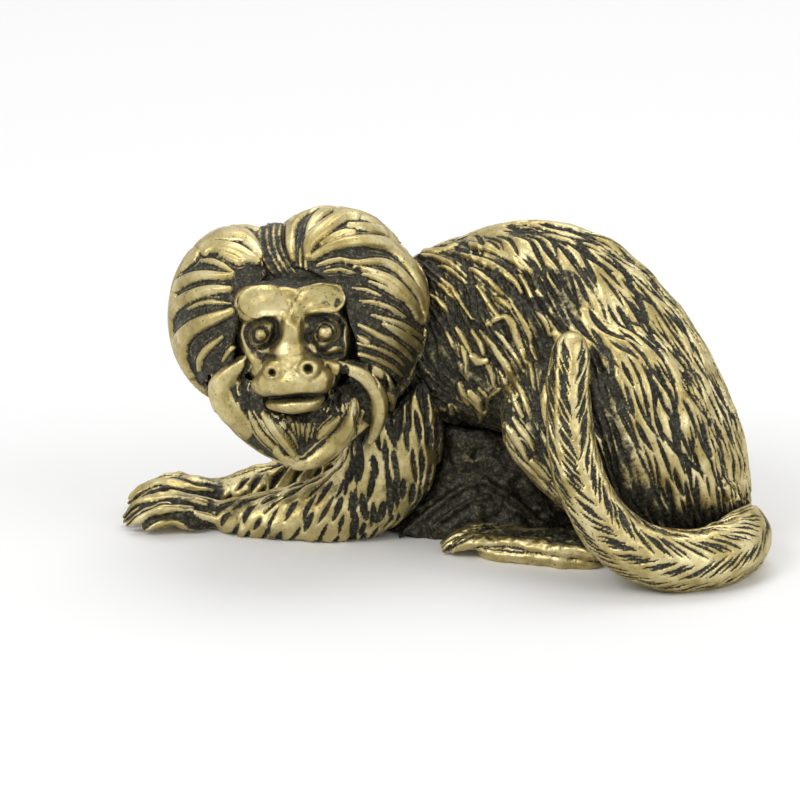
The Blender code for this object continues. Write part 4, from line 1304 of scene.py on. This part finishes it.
def antiqued_brass():
    """Yellow brass under a dark film. The film lies where the stored patina, with its painted
    shade, and two noises say.
    """
    material = bpy.data.materials.new("antiqued_cast_brass")
    material.use_nodes = True
    tree = material.node_tree
    shader = tree.nodes["Principled BSDF"]
    where = add_node(tree, "ShaderNodeTexCoord").outputs["Object"]
    stored = add_node(tree, "ShaderNodeAttribute", {"attribute_name": "patina_and_shade"}).outputs["Fac"]

    def grain(size, detail=3.0, rough=0.6):
        """Noise whose blotches are about size millimetres wide."""
        return add_node(tree, "ShaderNodeTexNoise", inputs={
            "Vector": where, "Scale": 1.0 / (size * MM), "Detail": detail,
            "Roughness": rough}).outputs["Fac"]

    def maths(operation, first, second):
        return add_node(tree, "ShaderNodeMath", {"operation": operation},
                        {0: first, 1: second}).outputs[0]

    def centred(noise, amount):
        """The noise moved to lie round zero, times the amount."""
        return maths("MULTIPLY", maths("SUBTRACT", noise, 0.5), amount)

    patches = grain(0.9, 4.0, 0.7)
    worn = maths("ADD", centred(patches, 1.1), centred(grain(0.25, 3.0, 0.7), 0.9))
    film = fitted(tree, maths("ADD", stored, worn), 0.25, 0.8, "From", SOFT)
    pits = fitted(tree, grain(0.2), 0.6, 0.7, "From", SOFT)
    film = maths("MAXIMUM", film, maths("MULTIPLY", pits, 0.75))

    bright = ramp(tree, grain(2.2, 4.0, 0.65), [
        (0.3, "#95844F"), (0.48, "#B9A973"), (0.7, "#E0D3A4")])  # rubbed brass, dull to pale
    depth = ramp(tree, grain(0.26, 4.0, 0.75), [  # black film, brown film, and grey-green flecks painted as glints
        (0.38, "#15130C"), (0.5, "#2E2A1D"), (0.6, "#4C4B3A"), (0.72, "#747769")])
    colour = add_node(tree, "ShaderNodeMix", {"data_type": "RGBA"}, {"Factor": film})
    tree.links.new(bright, colour.inputs[6])
    tree.links.new(depth, colour.inputs[7])
    tree.links.new(colour.outputs[2], shader.inputs["Base Color"])
    tree.links.new(fitted(tree, film, 1.0, 0.45, "To"), shader.inputs["Metallic"])
    rough = maths("ADD", fitted(tree, film, 0.38, 0.55, "To"), centred(patches, 0.2))
    tree.links.new(rough, shader.inputs["Roughness"])
    height = maths("ADD", maths("MULTIPLY", grain(0.16), 0.6), maths("MULTIPLY", patches, 0.5))
    bump = add_node(tree, "ShaderNodeBump", inputs={
        "Strength": 0.6, "Distance": 0.07 * MM, "Height": height})
    tree.links.new(bump.outputs["Normal"], shader.inputs["Normal"])
    return material


brass = antiqued_brass()

# %% [markdown]
# ## Handing the pieces to the frame
# Each piece rides on the one body of the figure, stands for the CAD solids it grew from, and takes
# the antiqued brass material.

# %% Ride, replace, finish
STANDS_FOR = {
    body: ("torso", "left_haunch", "right_haunch"), left_arm: ("left_arm", "left_hand"),
    right_arm: ("right_arm", "right_hand"), left_foot: ("left_foot",), right_foot: ("right_foot",),
    tail: ("tail",), web: ("belly_web",), head: ("head",), left_mane: ("mane_left_lobe",),
    right_mane: ("mane_right_lobe",), nape_mane: ("mane_nape",), beard: ("chin_ruff",)}
for piece, nodes in STANDS_FOR.items():
    piece.data.materials.clear()
    piece.data.materials.append(brass)
    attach(piece, "root")
    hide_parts(*nodes)
print("triangles in all:", sum(triangles_in(piece) for piece in PIECES))

# %% [markdown]
# ## Floor and light
# White paper under soft, even light, as in the photograph. The sky is white for the camera and
# for reflections, so that the metal mirrors a white studio, and dimmer as a light.

# %% White paper
floor_bm = bmesh.new()
bmesh.ops.create_grid(floor_bm, x_segments=1, y_segments=1, size=3.0)
floor = add_object("floor", mesh_of(floor_bm, "floor"))
paper = bpy.data.materials.new("white_sweep_paper")
paper.use_nodes = True
matt = paper.node_tree.nodes["Principled BSDF"].inputs
matt["Base Color"].default_value = linear("#FBFBFB")
matt["Roughness"].default_value = 0.9
matt["Specular IOR Level"].default_value = 0.1
floor.data.materials.append(paper)

# %% Lamps
def add_lamp(name, place, size, power):
    """A square lamp of size metres that looks at the figure."""
    lamp = bpy.data.lights.new(name, "AREA")
    lamp.size = size
    lamp.energy = power
    holder = add_object(name, lamp)
    holder.location = place
    aim = Vector((0.0, 0.0, 0.01)) - Vector(place)
    holder.rotation_euler = aim.to_track_quat("-Z", "Y").to_euler()


add_lamp("key", (-0.28, -0.3, 0.38), 0.22, 0.9)
add_lamp("fill", (0.35, -0.25, 0.3), 0.3, 0.5)
add_lamp("top", (0.05, 0.2, 0.45), 0.3, 0.7)

# %% Sky
world = bpy.data.worlds.new("studio")
bpy.context.scene.world = world
world.use_nodes = True
sky = world.node_tree
path = add_node(sky, "ShaderNodeLightPath").outputs
shown = path["Is Camera Ray"]
for kind in ("Is Glossy Ray", "Is Transmission Ray"):
    shown = add_node(sky, "ShaderNodeMath", {"operation": "MAXIMUM"}, {
        0: shown, 1: path[kind]}).outputs[0]
sky.links.new(fitted(sky, shown, 0.55, 1.0, "To"), sky.nodes["Background"].inputs["Strength"])
sky.nodes["Background"].inputs["Color"].default_value = (1.0, 1.0, 1.0, 1.0)
bpy.context.scene.view_settings.view_transform = "Standard"
